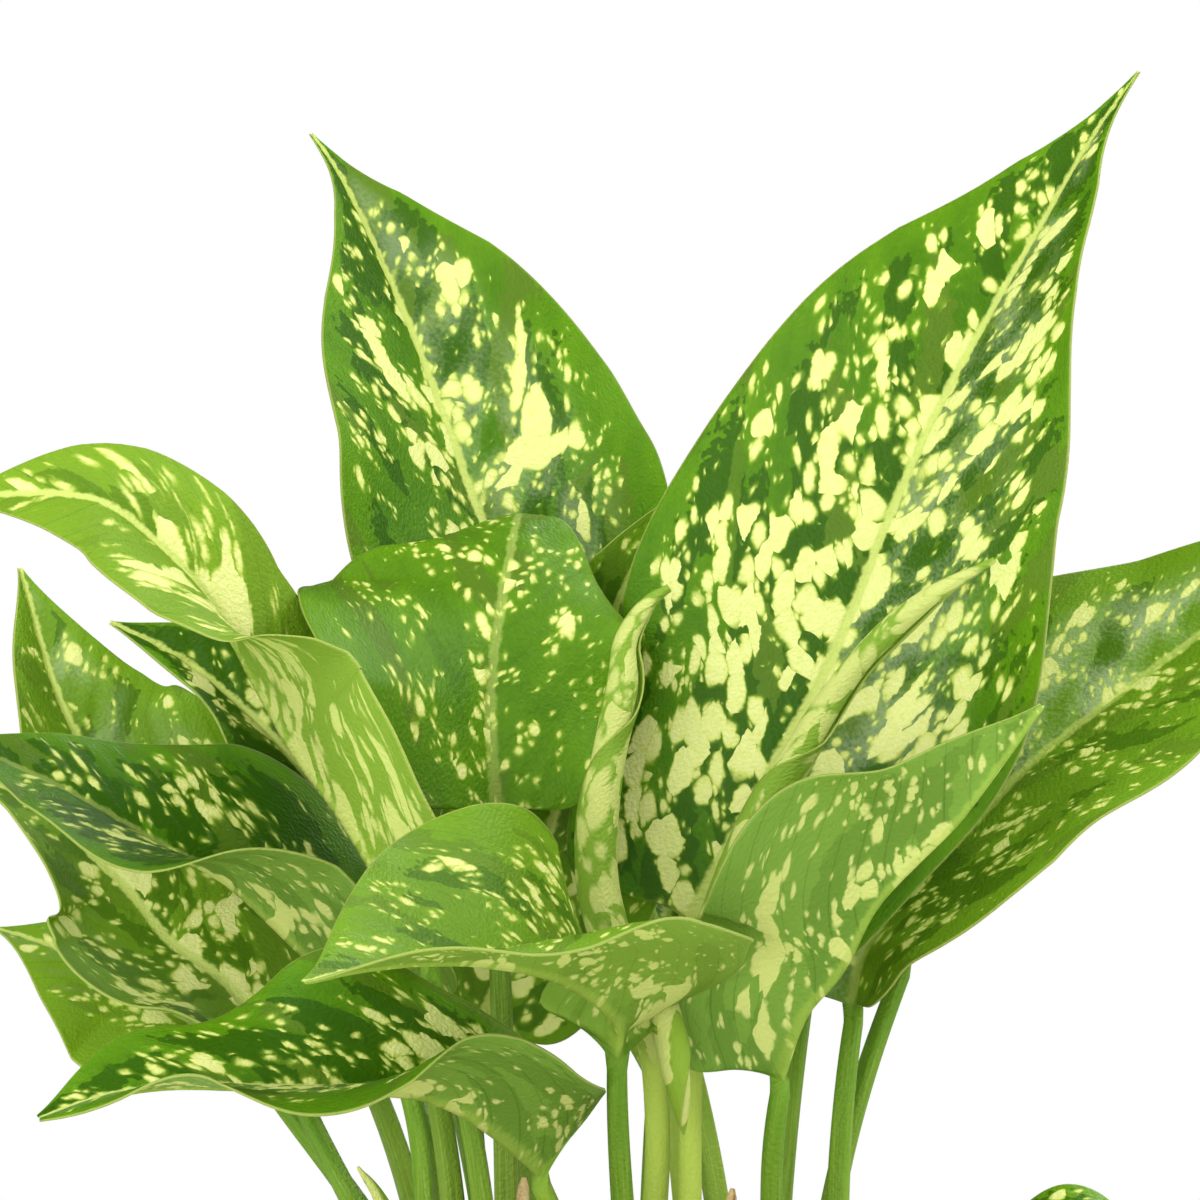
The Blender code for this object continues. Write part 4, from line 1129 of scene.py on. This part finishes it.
# %% The table of rolls
# node: the solid whose place it takes or shares. path: its middle line. width: by height, how
# thick it is. lip: by height, which way its free lip points, in degrees, and flare: by height,
# how far the lip stands off.
Roll = namedtuple("Roll", "name node shoot turn path width lip flare")
ROLLS = [
    Roll("rolled_middle", "spear_middle", "middle", None,
         path=[(6, -10, 150), (7, -13, 175), (5, -16, 196), (-1, -18, 210), (-4, -18, 222),
               (-4, -18, 234), (-2, -18, 246), (0.5, -18, 258), (1, -18, 266), (5, -18, 273),
               (9, -18, 276)],
         width=[(110, 2.6), (190, 2.4), (199, 4.2), (234, 4.1), (246, 3.4), (257, 3.5),
                (266, 2.4), (272, 1.9), (274.5, 1.5), (276, 0.2)],
         lip=[(200, 240), (226, 205), (238, 178), (244, 140), (249, 85), (253, 35), (258, 12),
              (268, -5), (276, -20)],
         flare=[(244, 0.02), (252, 0.2), (262, 0.25), (270, 0.05)]),
    Roll("rolled_right", "leaf_young_right", "middle", 320,
         path=[(13, -14, 150), (13, -15, 180), (14, -16, 203), (19, -17, 218), (26, -18, 234),
               (33, -20, 246), (39, -21, 256), (46, -23, 265), (56, -26, 274), (68, -28, 281)],
         width=[(110, 2.6), (190, 2.2), (203, 3.2), (228, 3.9), (240, 3.7), (252, 3.1),
                (262, 2.4), (270, 2.6), (276, 1.7), (279, 1.2), (281, 0.2)],
         lip=[(205, 240), (232, 190), (240, 165), (246, 90), (249, 40), (256, 10), (264, 0),
              (281, -30)],
         flare=[(240, 0.02), (249, 0.2), (262, 0.15), (272, 0.35), (280, 0.1)]),
    Roll("rolled_left", "spear_left", "front_left", 245,
         path=[(-35, -16, 140), (-43, -19, 162), (-48, -20, 170)],
         width=[(110, 2.2), (138, 1.8), (150, 2.4), (160, 1.9), (168, 0.8), (170, 0.2)],
         lip=[(140, 200), (160, 100), (170, 30)], flare=[(150, 0.05)]),
]
LOBES = [
    Roll("rolled_middle_lobe", "spear_middle", None, None,
         path=[(5, -22, 208), (7, -31, 202), (9, -36, 194), (10.5, -36, 186), (11.5, -33, 177)],
         width=[(177, 0.2), (179, 0.9), (184, 2.1), (190, 3.0), (200, 3.2), (207, 2.4), (209, 0.4)],
         lip=[(177, 60), (190, 150), (200, 250), (209, 300)], flare=[(180, 0.1)]),
    Roll("rolled_middle_back_lobe", "spear_middle", None, None,
         path=[(2, -14, 204), (3, -14, 196), (4.5, -14, 190), (6, -14, 184)],
         width=[(184, 0.2), (187, 1.2), (192, 2.6), (200, 2.8), (204, 0.4)],
         lip=[(184, 160), (204, 200)], flare=[(190, 0.05)]),
]
print(len(ROLLS), "rolled leaves and", len(LOBES), "rolled lobes are in the table")

# %% The section of a roll
ROLL_SIDES = 56
LIP_SIDES = 8
UNDERLAP = 0.75
FLARE_ANGLE = 1.3
ROLL_SHRINK = 0.16
SHEET = 0.35
EASE_STEPS = 200
EASE_REACH = 4


def wound(table, height):
    """A value read by height from a small table, eased between its rows."""
    heights, values = zip(*table)
    fine = np.linspace(heights[0], heights[-1], EASE_STEPS)
    raw = np.pad(np.interp(fine, heights, values), EASE_REACH, mode="edge")
    kernel = np.full(2 * EASE_REACH + 1, 1 / (2 * EASE_REACH + 1))
    return np.interp(height, fine, np.convolve(raw, kernel, mode="valid"))


def scroll(radius, lip, flare):
    """Angles and radii round a roll: from the free lip all the way round and in under it."""
    share = np.linspace(0, 1, ROLL_SIDES)
    turn = (2 * np.pi + UNDERLAP) * share
    lifted = 1 + flare * np.clip(1 - turn / FLARE_ANGLE, 0, 1) ** 2
    outer = radius * (1 - ROLL_SHRINK * share) * lifted
    back = np.linspace(1, 0, LIP_SIDES)[1:] * UNDERLAP
    under = np.interp(back, turn, outer) - SHEET
    under = np.maximum(under, 0.5 * radius * (1 - ROLL_SHRINK))
    angle = lip - np.concatenate([turn, 2 * np.pi + back])
    return angle, np.concatenate([outer, under]), np.concatenate([turn, back])


# %% Sweep the rolls
ROLL_RINGS = 110
ROLL_START = 4.0
TIP_CROWDING = 1.25
ROLL_BLADE_WIDTH = 30.0
ROLL_BLADE_LENGTH = 90.0
ROLL_NECK = (12.0, 8.0)
ROLL_SEED = (300.0, 7.0)
ROLL_SKIN = Skin(0.4, 2.2, 0.0, 0.55, 1.0, 0.8, stalk=0.9)
LOBE_SKIN = Skin(0.6, 4.0, 0.0, 0.8, 1.0, 0.8, stalk=0.9)


def roll_rings(roll):
    """Rings of a rolled leaf, with how far along it and how far from its lip each point is."""
    foot = []
    if roll.shoot:
        foot = [hole_place(roll) + (z,) for z in (SOIL_TOP - HOLE_DEPTH, SOIL_TOP + ROLL_START)]
    line = Line(smooth_line(foot + roll.path))
    share = 1 - (1 - np.linspace(0, 1, ROLL_RINGS)) ** TIP_CROWDING
    middle = line.point(share)
    radius = wound(roll.width, middle[:, 2])
    lip = np.radians(wound(roll.lip, middle[:, 2]))
    flare = wound(roll.flare, middle[:, 2])
    up = np.array([0.0, -1.0, 0.0])
    rings = []
    from_lip = []
    for k in range(ROLL_RINGS):
        tangent = line.direction(share[k])
        up = unit(up - up.dot(tangent) * tangent)
        right = np.cross(tangent, up)
        angle, size, turn = scroll(radius[k], lip[k], flare[k])
        angle, size = angle[:, None], size[:, None]
        rings.append(middle[k] + size * (np.cos(angle) * right + np.sin(angle) * up))
        from_lip.append(turn * radius[k])
    return rings, share * line.length, middle[:, 2], np.array(from_lip)


def rolled_leaf(roll, number):
    """Sweeps and paints one roll, with the same notes as an open leaf, its underside out."""
    rings, along, height, from_lip = roll_rings(roll)
    piece = plain_piece("fine_" + roll.name, *loft(rings))
    blade = smoothstep((height - roll.lip[0][0] + ROLL_NECK[0]) / ROLL_NECK[1])[:, None]
    across = ROLL_BLADE_WIDTH - from_lip
    reach = np.clip(1 - from_lip / ROLL_BLADE_WIDTH, 0, 1) * blade
    lengthwise = np.broadcast_to(along[:, None] - along[-1] + ROLL_BLADE_LENGTH, across.shape)
    note(piece, "place", with_ends(np.stack([across, lengthwise, reach], axis=2)))
    kind = np.stack(np.broadcast_arrays(1.0, blade, 0.5 + 0 * across), axis=2)
    note(piece, "kind", with_ends(kind))
    skin = ROLL_SKIN if roll.shoot else LOBE_SKIN
    seed = ROLL_SEED[0] + ROLL_SEED[1] * number
    piece.data.materials.append(leaf_material(roll.name + "_skin", skin, seed))
    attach(piece, "root")
    if roll.shoot:
        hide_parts(roll.node)


for number, roll in enumerate(ROLLS + LOBES):
    rolled_leaf(roll, number)
print("rolled", len(ROLLS), "young leaves and", len(LOBES), "lobes")

# %% [markdown]
# ## The pot
# A flower pot is turned: one profile goes round the axis. It could be a Screw modifier, but
# its holes would need a second step. A geometry tree does both: it lays a grid, looks up each
# row's place on the profile, turns it by its column's angle, closes the seam, and takes the
# drain holes out of the floor.

# %% The pot's profile
POT_HEIGHT = 125.0
POT_FOOT_RADIUS = 55.0
POT_BAND_RADIUS = 74.0
POT_RIM_RADIUS = 81.0
POT_BAND_HEIGHT = 27.0
POT_WALL = 5.0
POT_FLOOR = 7.0
POT_ROUNDING = 2.0
FOOT_BEVEL = 1.5
BAND_TAPER = 1.0
FLOOR_BEVEL = 3.0
FLOOR_WIDENING = 0.5
CORNER_STEPS = 6
DRAIN_HOLES = 3
DRAIN_RADIUS = 5.0
DRAIN_CIRCLE = 27.0
DRAIN_TURN = 0.5


def corner(radius, height, start, bend):
    """Points round a rounded edge, from one direction to the next, in degrees."""
    angles = [math.radians(start + bend * k / CORNER_STEPS) for k in range(CORNER_STEPS + 1)]
    return [(radius + POT_ROUNDING * math.cos(a), height + POT_ROUNDING * math.sin(a))
            for a in angles]


def inner_radius(height):
    """The pot's inner radius: it widens evenly from the floor to the top."""
    share = (height - POT_FLOOR) / (POT_HEIGHT - POT_FLOOR)
    low = POT_FOOT_RADIUS - POT_WALL + FLOOR_WIDENING
    high = POT_RIM_RADIUS - POT_WALL - BAND_TAPER
    return low + (high - low) * share


def pot_profile():
    """From the middle of the underside, up the outside, over the rim and down to the floor."""
    band = POT_HEIGHT - POT_BAND_HEIGHT
    edge = POT_ROUNDING
    outside = [(0.0, 0.0), (POT_FOOT_RADIUS - FOOT_BEVEL, 0.0), (POT_FOOT_RADIUS, FOOT_BEVEL),
               (POT_BAND_RADIUS, band)]
    outside += corner(POT_RIM_RADIUS - edge - BAND_TAPER, band + edge, -90, 90)
    outside += corner(POT_RIM_RADIUS - edge, POT_HEIGHT - edge, 0, 90)
    inside = corner(inner_radius(POT_HEIGHT) + edge, POT_HEIGHT - edge, 90, 90)
    inside += [(inner_radius(POT_FLOOR + FLOOR_BEVEL), POT_FLOOR + FLOOR_BEVEL),
               (inner_radius(POT_FLOOR) - FLOOR_BEVEL, POT_FLOOR), (0.0, POT_FLOOR)]
    return outside + inside


profile = pot_profile()
print("the pot's profile has", len(profile), "points")

# %% The turning tree
SEAM_GAP = 1e-5
DRILL_SIDES = 40
DRILL_LENGTH = 0.04


def turning_tree():
    """A profile turned round the axis and closed, with drain holes through the floor."""
    bench, given = geometry_tree("turned pot", {
        "Geometry": "geometry", "Profile points": "int", "Sides": "int", "Drain holes": "int",
        "Drain radius": "float", "Drain circle": "float", "Drain turn": "float",
        "Material": "material"})
    count = given["Profile points"]
    grid = bench.node("GeometryNodeMeshGrid", None, {
        "Size X": count - 1.0, "Size Y": 1.0, "Vertices X": count,
        "Vertices Y": given["Sides"] + 1.0})
    here = bench.node("GeometryNodeInputPosition")
    row, column, _ = bench.parts(here)
    index = bench.node("FunctionNodeFloatToInt", {"rounding_mode": "ROUND"},
                       {0: row + (count - 1.0) * 0.5})
    on_profile = bench.node("GeometryNodeSampleIndex", {"data_type": "FLOAT_VECTOR"}, {
        "Geometry": given["Geometry"], "Value": here, "Index": index})
    radius, _, height = bench.parts(on_profile)
    angle = (column + 0.5) * (2.0 * math.pi)
    turned = bench.vector(radius * angle.cosine(), radius * angle.sine(), height)
    shell = bench.node("GeometryNodeSetPosition", None, {"Geometry": grid, "Position": turned})
    shell = bench.node("GeometryNodeMergeByDistance", None, {
        "Geometry": shell, "Distance": SEAM_GAP})
    circle = bench.node("GeometryNodeMeshCircle", None, {
        "Vertices": given["Drain holes"], "Radius": given["Drain circle"]})
    drill = bench.node("GeometryNodeMeshCylinder", None, {
        "Vertices": DRILL_SIDES, "Radius": given["Drain radius"], "Depth": DRILL_LENGTH})
    drills = bench.node("GeometryNodeInstanceOnPoints", None, {"Points": circle, "Instance": drill})
    real = bench.node("GeometryNodeRealizeInstances", None, {0: drills})
    turn = bench.vector(0.0, 0.0, given["Drain turn"])
    placed = bench.node("GeometryNodeTransform", None, {"Geometry": real, "Rotation": turn})
    bored = bench.node("GeometryNodeMeshBoolean", {"operation": "DIFFERENCE"},
                       {0: shell, 1: placed})
    end_tree(bench, bored, given["Material"])
    return bench.tree


turn_pot = turning_tree()
print("turning tree has", len(turn_pot.nodes), "nodes")

# %% [markdown]
# ## Fired clay
# Fired clay is matt and never one colour: the kiln leaves slow warmer and paler drifts, the
# wheel leaves faint rings, watering leaves a chalky bloom low down and under the rim, and the
# surface has fine pits. All of that is noise of different sizes, read from the object's own
# coordinates and summed.

# %% The clay material
CLAY = colour(190, 112, 72)
CLAY_WARM = colour(168, 88, 54)
CLAY_PALE = colour(214, 152, 112)
CHALK = colour(226, 204, 184)
DRIFT_WIDE = 60.0
MOTTLE_WIDE = 9.0
GRAIN_WIDE = 0.9
CLOUD_WIDE = 14.0
PIT_SPACING = 2.6
PIT_EDGE = (0.05, 0.16)
WHEEL_RINGS = 1.6
BLOOM_LOW = (22.0, 52.0)
BLOOM_LOW_RAGGED = 30.0
BLOOM_HIGH = (118.0, 129.0)
BLOOM_HIGH_RAGGED = 9.0
BLOOM_HIGH_SHARE = 0.7
CLAY_BUMP = (0.5, 0.0004)


def chalky_bloom(bench, place, height, mottle):
    """Where the chalky bloom sits: low down and under the rim, in clouds."""
    low = 1.0 - bench.ramp(height + mottle * BLOOM_LOW_RAGGED, *BLOOM_LOW)
    high = bench.ramp(height + mottle * BLOOM_HIGH_RAGGED, *BLOOM_HIGH)
    clouds = bench.ramp(bench.noise(place, CLOUD_WIDE, 4.0, 0.65), 0.42, 0.66)
    return (low + high * BLOOM_HIGH_SHARE) * clouds


def clay_material():
    """Matt clay: drifts, mottling, bloom and pits in colour, and grain and rings in relief."""
    material, bench = new_material("fired_clay")
    place = object_place(bench)
    x, y, z = bench.parts(place)
    drift = bench.noise(place, DRIFT_WIDE, 3.0)
    mottle = bench.noise(place, MOTTLE_WIDE, 4.0, 0.6)
    grain = bench.noise(place, GRAIN_WIDE, 3.0, 0.7)
    pits, _ = bench.cells(place, PIT_SPACING)
    pit = 1.0 - bench.ramp(pits, *PIT_EDGE)
    rings = bench.noise(bench.vector(x * 0.01, y * 0.01, z), WHEEL_RINGS)
    base = bench.tint(CLAY, CLAY_WARM, bench.ramp(drift, 0.35, 0.65))
    base = bench.tint(base, CLAY_PALE, bench.ramp(mottle, 0.45, 0.8) * 0.5)
    base = bench.tint(base, CHALK, chalky_bloom(bench, place, z, mottle) * 0.5)
    base = bench.tint(base, CLAY_WARM, pit * 0.6)
    height = grain * 0.5 + rings * 0.6 - pit * 0.8
    shader = bench.node("ShaderNodeBsdfPrincipled", None, {
        "Base Color": base, "Roughness": 0.78 + grain * 0.15,
        "Normal": bench.bump(height, *CLAY_BUMP)})
    return finished(material, bench, shader)


# %% Turn the pot
POT_SIDES = 144
SHARP_ANGLE = 35.0
pot = plain_piece("turned_pot", [(r, 0.0, z) for r, z in profile], [])
run_tree(pot, turn_pot, {
    "Profile points": len(profile), "Sides": POT_SIDES, "Drain holes": DRAIN_HOLES,
    "Drain radius": DRAIN_RADIUS * MM, "Drain circle": DRAIN_CIRCLE * MM, "Drain turn": DRAIN_TURN,
    "Material": clay_material()})
pot.data.shade_smooth()
pot.data.set_sharp_from_angle(angle=math.radians(SHARP_ANGLE))
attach(pot, "root")
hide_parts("pot")
print("pot has", len(pot.data.polygons), "faces")

# %% [markdown]
# ## Soil
# Potting mix is dark crumbs of all sizes with bits of bark and white perlite. The bed is one
# lumpy solid, and the crumbs are scattered over it by a geometry tree: points strewn over the
# faces that look up, a small pebble on each, every one turned and sized by its own chance.

# %% The soil bed
SOIL_DOME = 2.5
SOIL_LUMP = 1.3
SOIL_EDGE_DROP = 1.5
SOIL_SINK = 1.0
BED_RINGS = 44
BED_SIDES = 120
GAP = 0.3
WALL_SLACK = 0.2
FOOT_SLACK = 0.3


def soil_lumps(x, y):
    """Height of the soil's lumps: three crossing waves that never line up."""
    waves = np.sin(0.31 * x + 1.3) * np.cos(0.27 * y + 0.4) + 0.7 * np.sin(0.52 * x - 0.61 * y)
    return SOIL_LUMP * (waves + 0.5 * np.cos(0.83 * x + 0.77 * y))


def soil_rings():
    """Rings from the floor of the pot up and in over the top."""
    rim = inner_radius(SOIL_TOP) - GAP - WALL_SLACK
    foot = inner_radius(POT_FLOOR + FLOOR_BEVEL) - GAP - FOOT_SLACK
    angle = 2 * np.pi * np.arange(BED_SIDES) / BED_SIDES
    ring = np.stack([np.cos(angle), np.sin(angle), 0 * angle], axis=1)
    rings = [ring * (foot - FLOOR_BEVEL) + [0, 0, POT_FLOOR + GAP],
             ring * foot + [0, 0, POT_FLOOR + FLOOR_BEVEL + GAP],
             ring * rim + [0, 0, SOIL_TOP - SOIL_EDGE_DROP]]
    for step in range(1, BED_RINGS):
        share = 1 - step / BED_RINGS
        flat = ring * rim * share
        lumps = soil_lumps(flat[:, 0], flat[:, 1])
        flat[:, 2] = SOIL_TOP + SOIL_DOME * (1 - share**2) + lumps - SOIL_SINK
        rings.append(flat)
    return rings


print("the soil bed has", BED_RINGS, "rings of", BED_SIDES, "points over its top")

# %% The scattering tree
LOOKS_UP = 0.5
DENT_SIZE = 0.7
DENTS = (0.45, 1.1)
MOSTLY_SMALL = 2.5
MOST_TURN = (0.5, 0.5, 6.28)


def scatter_tree():
    """Dented pebbles strewn over the faces that look up, each turned and sized by chance."""
    bench, given = geometry_tree("strewn crumbs", {
        "Geometry": "geometry", "Crumbs a square metre": "float", "Smallest": "float",
        "Largest": "float", "Flatness": "float", "Seed": "int", "Material": "material"})
    normal = bench.node("GeometryNodeInputNormal")
    looks_up = bench.parts(normal)[2].over(LOOKS_UP)
    points = bench.node("GeometryNodeDistributePointsOnFaces", None, {
        "Mesh": given["Geometry"], "Selection": looks_up, "Density": given["Crumbs a square metre"],
        "Seed": given["Seed"]})
    ball = bench.node("GeometryNodeMeshIcoSphere", None, {"Radius": 1.0, "Subdivisions": 2})
    here = bench.node("GeometryNodeInputPosition")
    dented = bench.noise(here, DENT_SIZE) * DENTS[1] + DENTS[0]
    pebble = bench.node("GeometryNodeSetPosition", None, {
        "Geometry": ball, "Position": bench.stretched(here, dented)})
    chance = {"data_type": "FLOAT"}
    size = bench.node("FunctionNodeRandomValue", chance, {2: 0.0, 3: 1.0, "Seed": given["Seed"]}, 1)
    size = given["Smallest"] + (given["Largest"] - given["Smallest"]) * size**MOSTLY_SMALL
    turn = bench.node("FunctionNodeRandomValue", {"data_type": "FLOAT_VECTOR"}, {
        0: (0.0, 0.0, 0.0), 1: MOST_TURN, "Seed": given["Seed"]})
    scale = bench.vector(size, size * (0.6 + 0.4 * given["Flatness"]), size * given["Flatness"])
    strewn = bench.node("GeometryNodeInstanceOnPoints", None, {
        "Points": points, "Instance": pebble, "Rotation": turn, "Scale": scale})
    end_tree(bench, strewn, given["Material"])
    return bench.tree


strew = scatter_tree()
print("scattering tree has", len(strew.nodes), "nodes")

# %% Soil materials
SOIL_DARK = colour(46, 33, 24)
SOIL_BROWN = colour(88, 64, 44)
BARK_BROWN = colour(120, 82, 52)
BARK_PALE = colour(164, 122, 82)
PERLITE = colour(232, 228, 218)
PERLITE_GREY = colour(188, 182, 170)
GRIT_SHARE = 0.12
CRUMB_BUMP = (0.8, 0.0006)
CRUMB_GLOSS = 0.3


def crumb_material(name, first, second, size, rough):
    """Two colours mixed by noise of a given size, with a gritty bump."""
    material, bench = new_material(name)
    place = object_place(bench)
    mottle = bench.noise(place, size, 4.0, 0.65)
    grit = bench.noise(place, size * GRIT_SHARE, 3.0, 0.7)
    base = bench.tint(first, second, bench.ramp(mottle * 0.7 + grit * 0.3, 0.35, 0.68))
    shader = bench.node("ShaderNodeBsdfPrincipled", None, {
        "Base Color": base, "Roughness": rough + grit * 0.1,
        "Specular IOR Level": CRUMB_GLOSS, "Normal": bench.bump(grit, *CRUMB_BUMP)})
    return finished(material, bench, shader)


# %% Fill the pot
# density: crumbs a square metre. first, second: its colours. mottle: how wide they are mixed.
Strewn = namedtuple("Strewn", "name density smallest largest flatness seed material "
                              "first second mottle rough")
STREWN = [
    Strewn("soil_crumbs", 60000.0, 0.5, 2.6, 0.8, 3, "soil_crumb",
           SOIL_DARK, SOIL_BROWN, 3.0, 0.88),
    Strewn("bark_bits", 9000.0, 1.0, 5.0, 0.35, 8, "bark", BARK_BROWN, BARK_PALE, 5.0, 0.8),
    Strewn("perlite", 7000.0, 0.6, 2.2, 0.9, 5, "white_perlite",
           PERLITE_GREY, PERLITE, 2.0, 0.85),
]

bed = plain_piece("soil_bed", *loft(soil_rings()))
bed.data.materials.append(crumb_material("potting_soil", SOIL_DARK, SOIL_BROWN, 4.0, 0.9))
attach(bed, "root")
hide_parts("soil")
for kind in STREWN:
    piece = plain_piece(kind.name, *loft(soil_rings()))
    run_tree(piece, strew, {
        "Crumbs a square metre": kind.density, "Smallest": kind.smallest * MM,
        "Largest": kind.largest * MM, "Flatness": kind.flatness, "Seed": kind.seed,
        "Material": crumb_material(
            kind.material, kind.first, kind.second, kind.mottle, kind.rough)})
    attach(piece, "root")
    print(kind.name, "has", len(piece.data.polygons), "faces")

# %% [markdown]
# ## Dry sheaths
# The oldest leaves have gone and left their sheaths: thin tan paper, curled round nothing, still
# standing between the petioles. They are rolled by the same rule as the young leaves, only
# thinner, and end in a torn tip.

# %% Stand the dry sheaths
SHEATHS = [
    Roll("dry_sheath_left", "spear_left", None, None,
         path=[(-20, -15, 108), (-20, -18, 130), (-18.5, -19, 152), (-17.5, -19, 168)],
         width=[(108, 1.6), (140, 1.9), (160, 1.6), (167, 0.9), (168, 0.2)],
         lip=[(108, 60), (168, 140)], flare=[(108, 0.3), (168, 0.7)]),
    Roll("dry_sheath_right", "spear_middle", None, None,
         path=[(15, -16, 108), (16, -18, 130), (18, -19, 150), (20.5, -19, 166)],
         width=[(108, 1.5), (140, 1.8), (158, 1.4), (165, 0.8), (166, 0.2)],
         lip=[(108, 100), (166, 30)], flare=[(108, 0.2), (166, 0.6)]),
    Roll("dry_sheath_rear", "leaf_rear_middle", None, None,
         path=[(-16, 22, 108), (-15, 25, 125), (-13, 27, 142)],
         width=[(108, 2.2), (130, 1.9), (141, 0.8), (142, 0.2)],
         lip=[(108, 240), (142, 300)], flare=[(108, 0.3), (142, 0.7)]),
]
PAPER_TAN = colour(206, 186, 132)
PAPER_BROWN = colour(150, 116, 70)

for sheath in SHEATHS:
    piece = plain_piece(sheath.name, *loft(roll_rings(sheath)[0]))
    piece.data.materials.append(crumb_material(sheath.name, PAPER_TAN, PAPER_BROWN, 5.0, 0.75))
    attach(piece, "root")
print("stood", len(SHEATHS), "dry sheaths")

# %% [markdown]
# ## Floor and light
# The plant stands on a plain pale floor in soft studio light. The backdrop is white because
# the sky is white where the camera sees it, and dimmer where it only lights the leaves, so
# that the four soft boxes can model the folds.

# %% The floor
FLOOR_RADIUS = 1.45
FLOOR_SIDES = 96
bpy.ops.mesh.primitive_circle_add(vertices=FLOOR_SIDES, radius=FLOOR_RADIUS, fill_type="NGON")
floor = bpy.context.object
floor.name = "floor"
floor_material, floor_bench = new_material("pale_floor")
floor_shader = floor_bench.node("ShaderNodeBsdfPrincipled", None, {
    "Base Color": colour(226, 226, 223), "Roughness": 0.7})
finished(floor_material, floor_bench, floor_shader)
floor.data.materials.append(floor_material)
print("the floor is", 2 * FLOOR_RADIUS, "m wide")

# %% The sky and the soft boxes
SKY_SEEN = 1.0
SKY_LIGHT = 0.72
SKY_GLOSS = 0.1
LIGHT_AIM = Vector((0.0, 0.0, 0.25))
SoftBox = namedtuple("SoftBox", "name place size power")
SOFT_BOXES = [
    SoftBox("key", (-0.85, -0.8, 0.95), 0.8, 12.0),
    SoftBox("front", (-0.3, -1.3, 0.05), 0.9, 18.0),
    SoftBox("right", (0.9, -0.2, 1.1), 0.8, 15.0),
    SoftBox("back", (0.5, 0.9, 0.9), 0.8, 13.0),
]


def white_sky():
    """A sky that is white to the camera, dimmer as a light and dimmest in reflections."""
    world = bpy.data.worlds.new("white sky")
    world.use_nodes = True
    bpy.context.scene.world = world
    bench = Bench(world.node_tree)
    bench.tree.nodes.clear()
    seen = bench.node("ShaderNodeLightPath")
    glossy = bench.node("ShaderNodeLightPath", None, None, "Is Glossy Ray")
    strength = SKY_LIGHT + seen * (SKY_SEEN - SKY_LIGHT) + glossy * (SKY_GLOSS - SKY_LIGHT)
    sky = bench.node("ShaderNodeBackground", None, {
        "Color": (1.0, 1.0, 1.0, 1.0), "Strength": strength})
    out = bench.tree.nodes.new("ShaderNodeOutputWorld")
    bench.tree.links.new(sky.socket, out.inputs["Surface"])


def soft_box(box):
    """A square light that looks at the plant."""
    light = bpy.data.lights.new(box.name, "AREA")
    light.size = box.size
    light.energy = box.power
    holder = bpy.data.objects.new(box.name, light)
    holder.location = box.place
    aim = LIGHT_AIM - holder.location
    holder.rotation_euler = aim.to_track_quat("-Z", "Y").to_euler()
    bpy.context.scene.collection.objects.link(holder)


white_sky()
for box in SOFT_BOXES:
    soft_box(box)
bpy.context.scene.view_settings.view_transform = "Standard"
print("light from", len(SOFT_BOXES), "soft boxes and the sky")
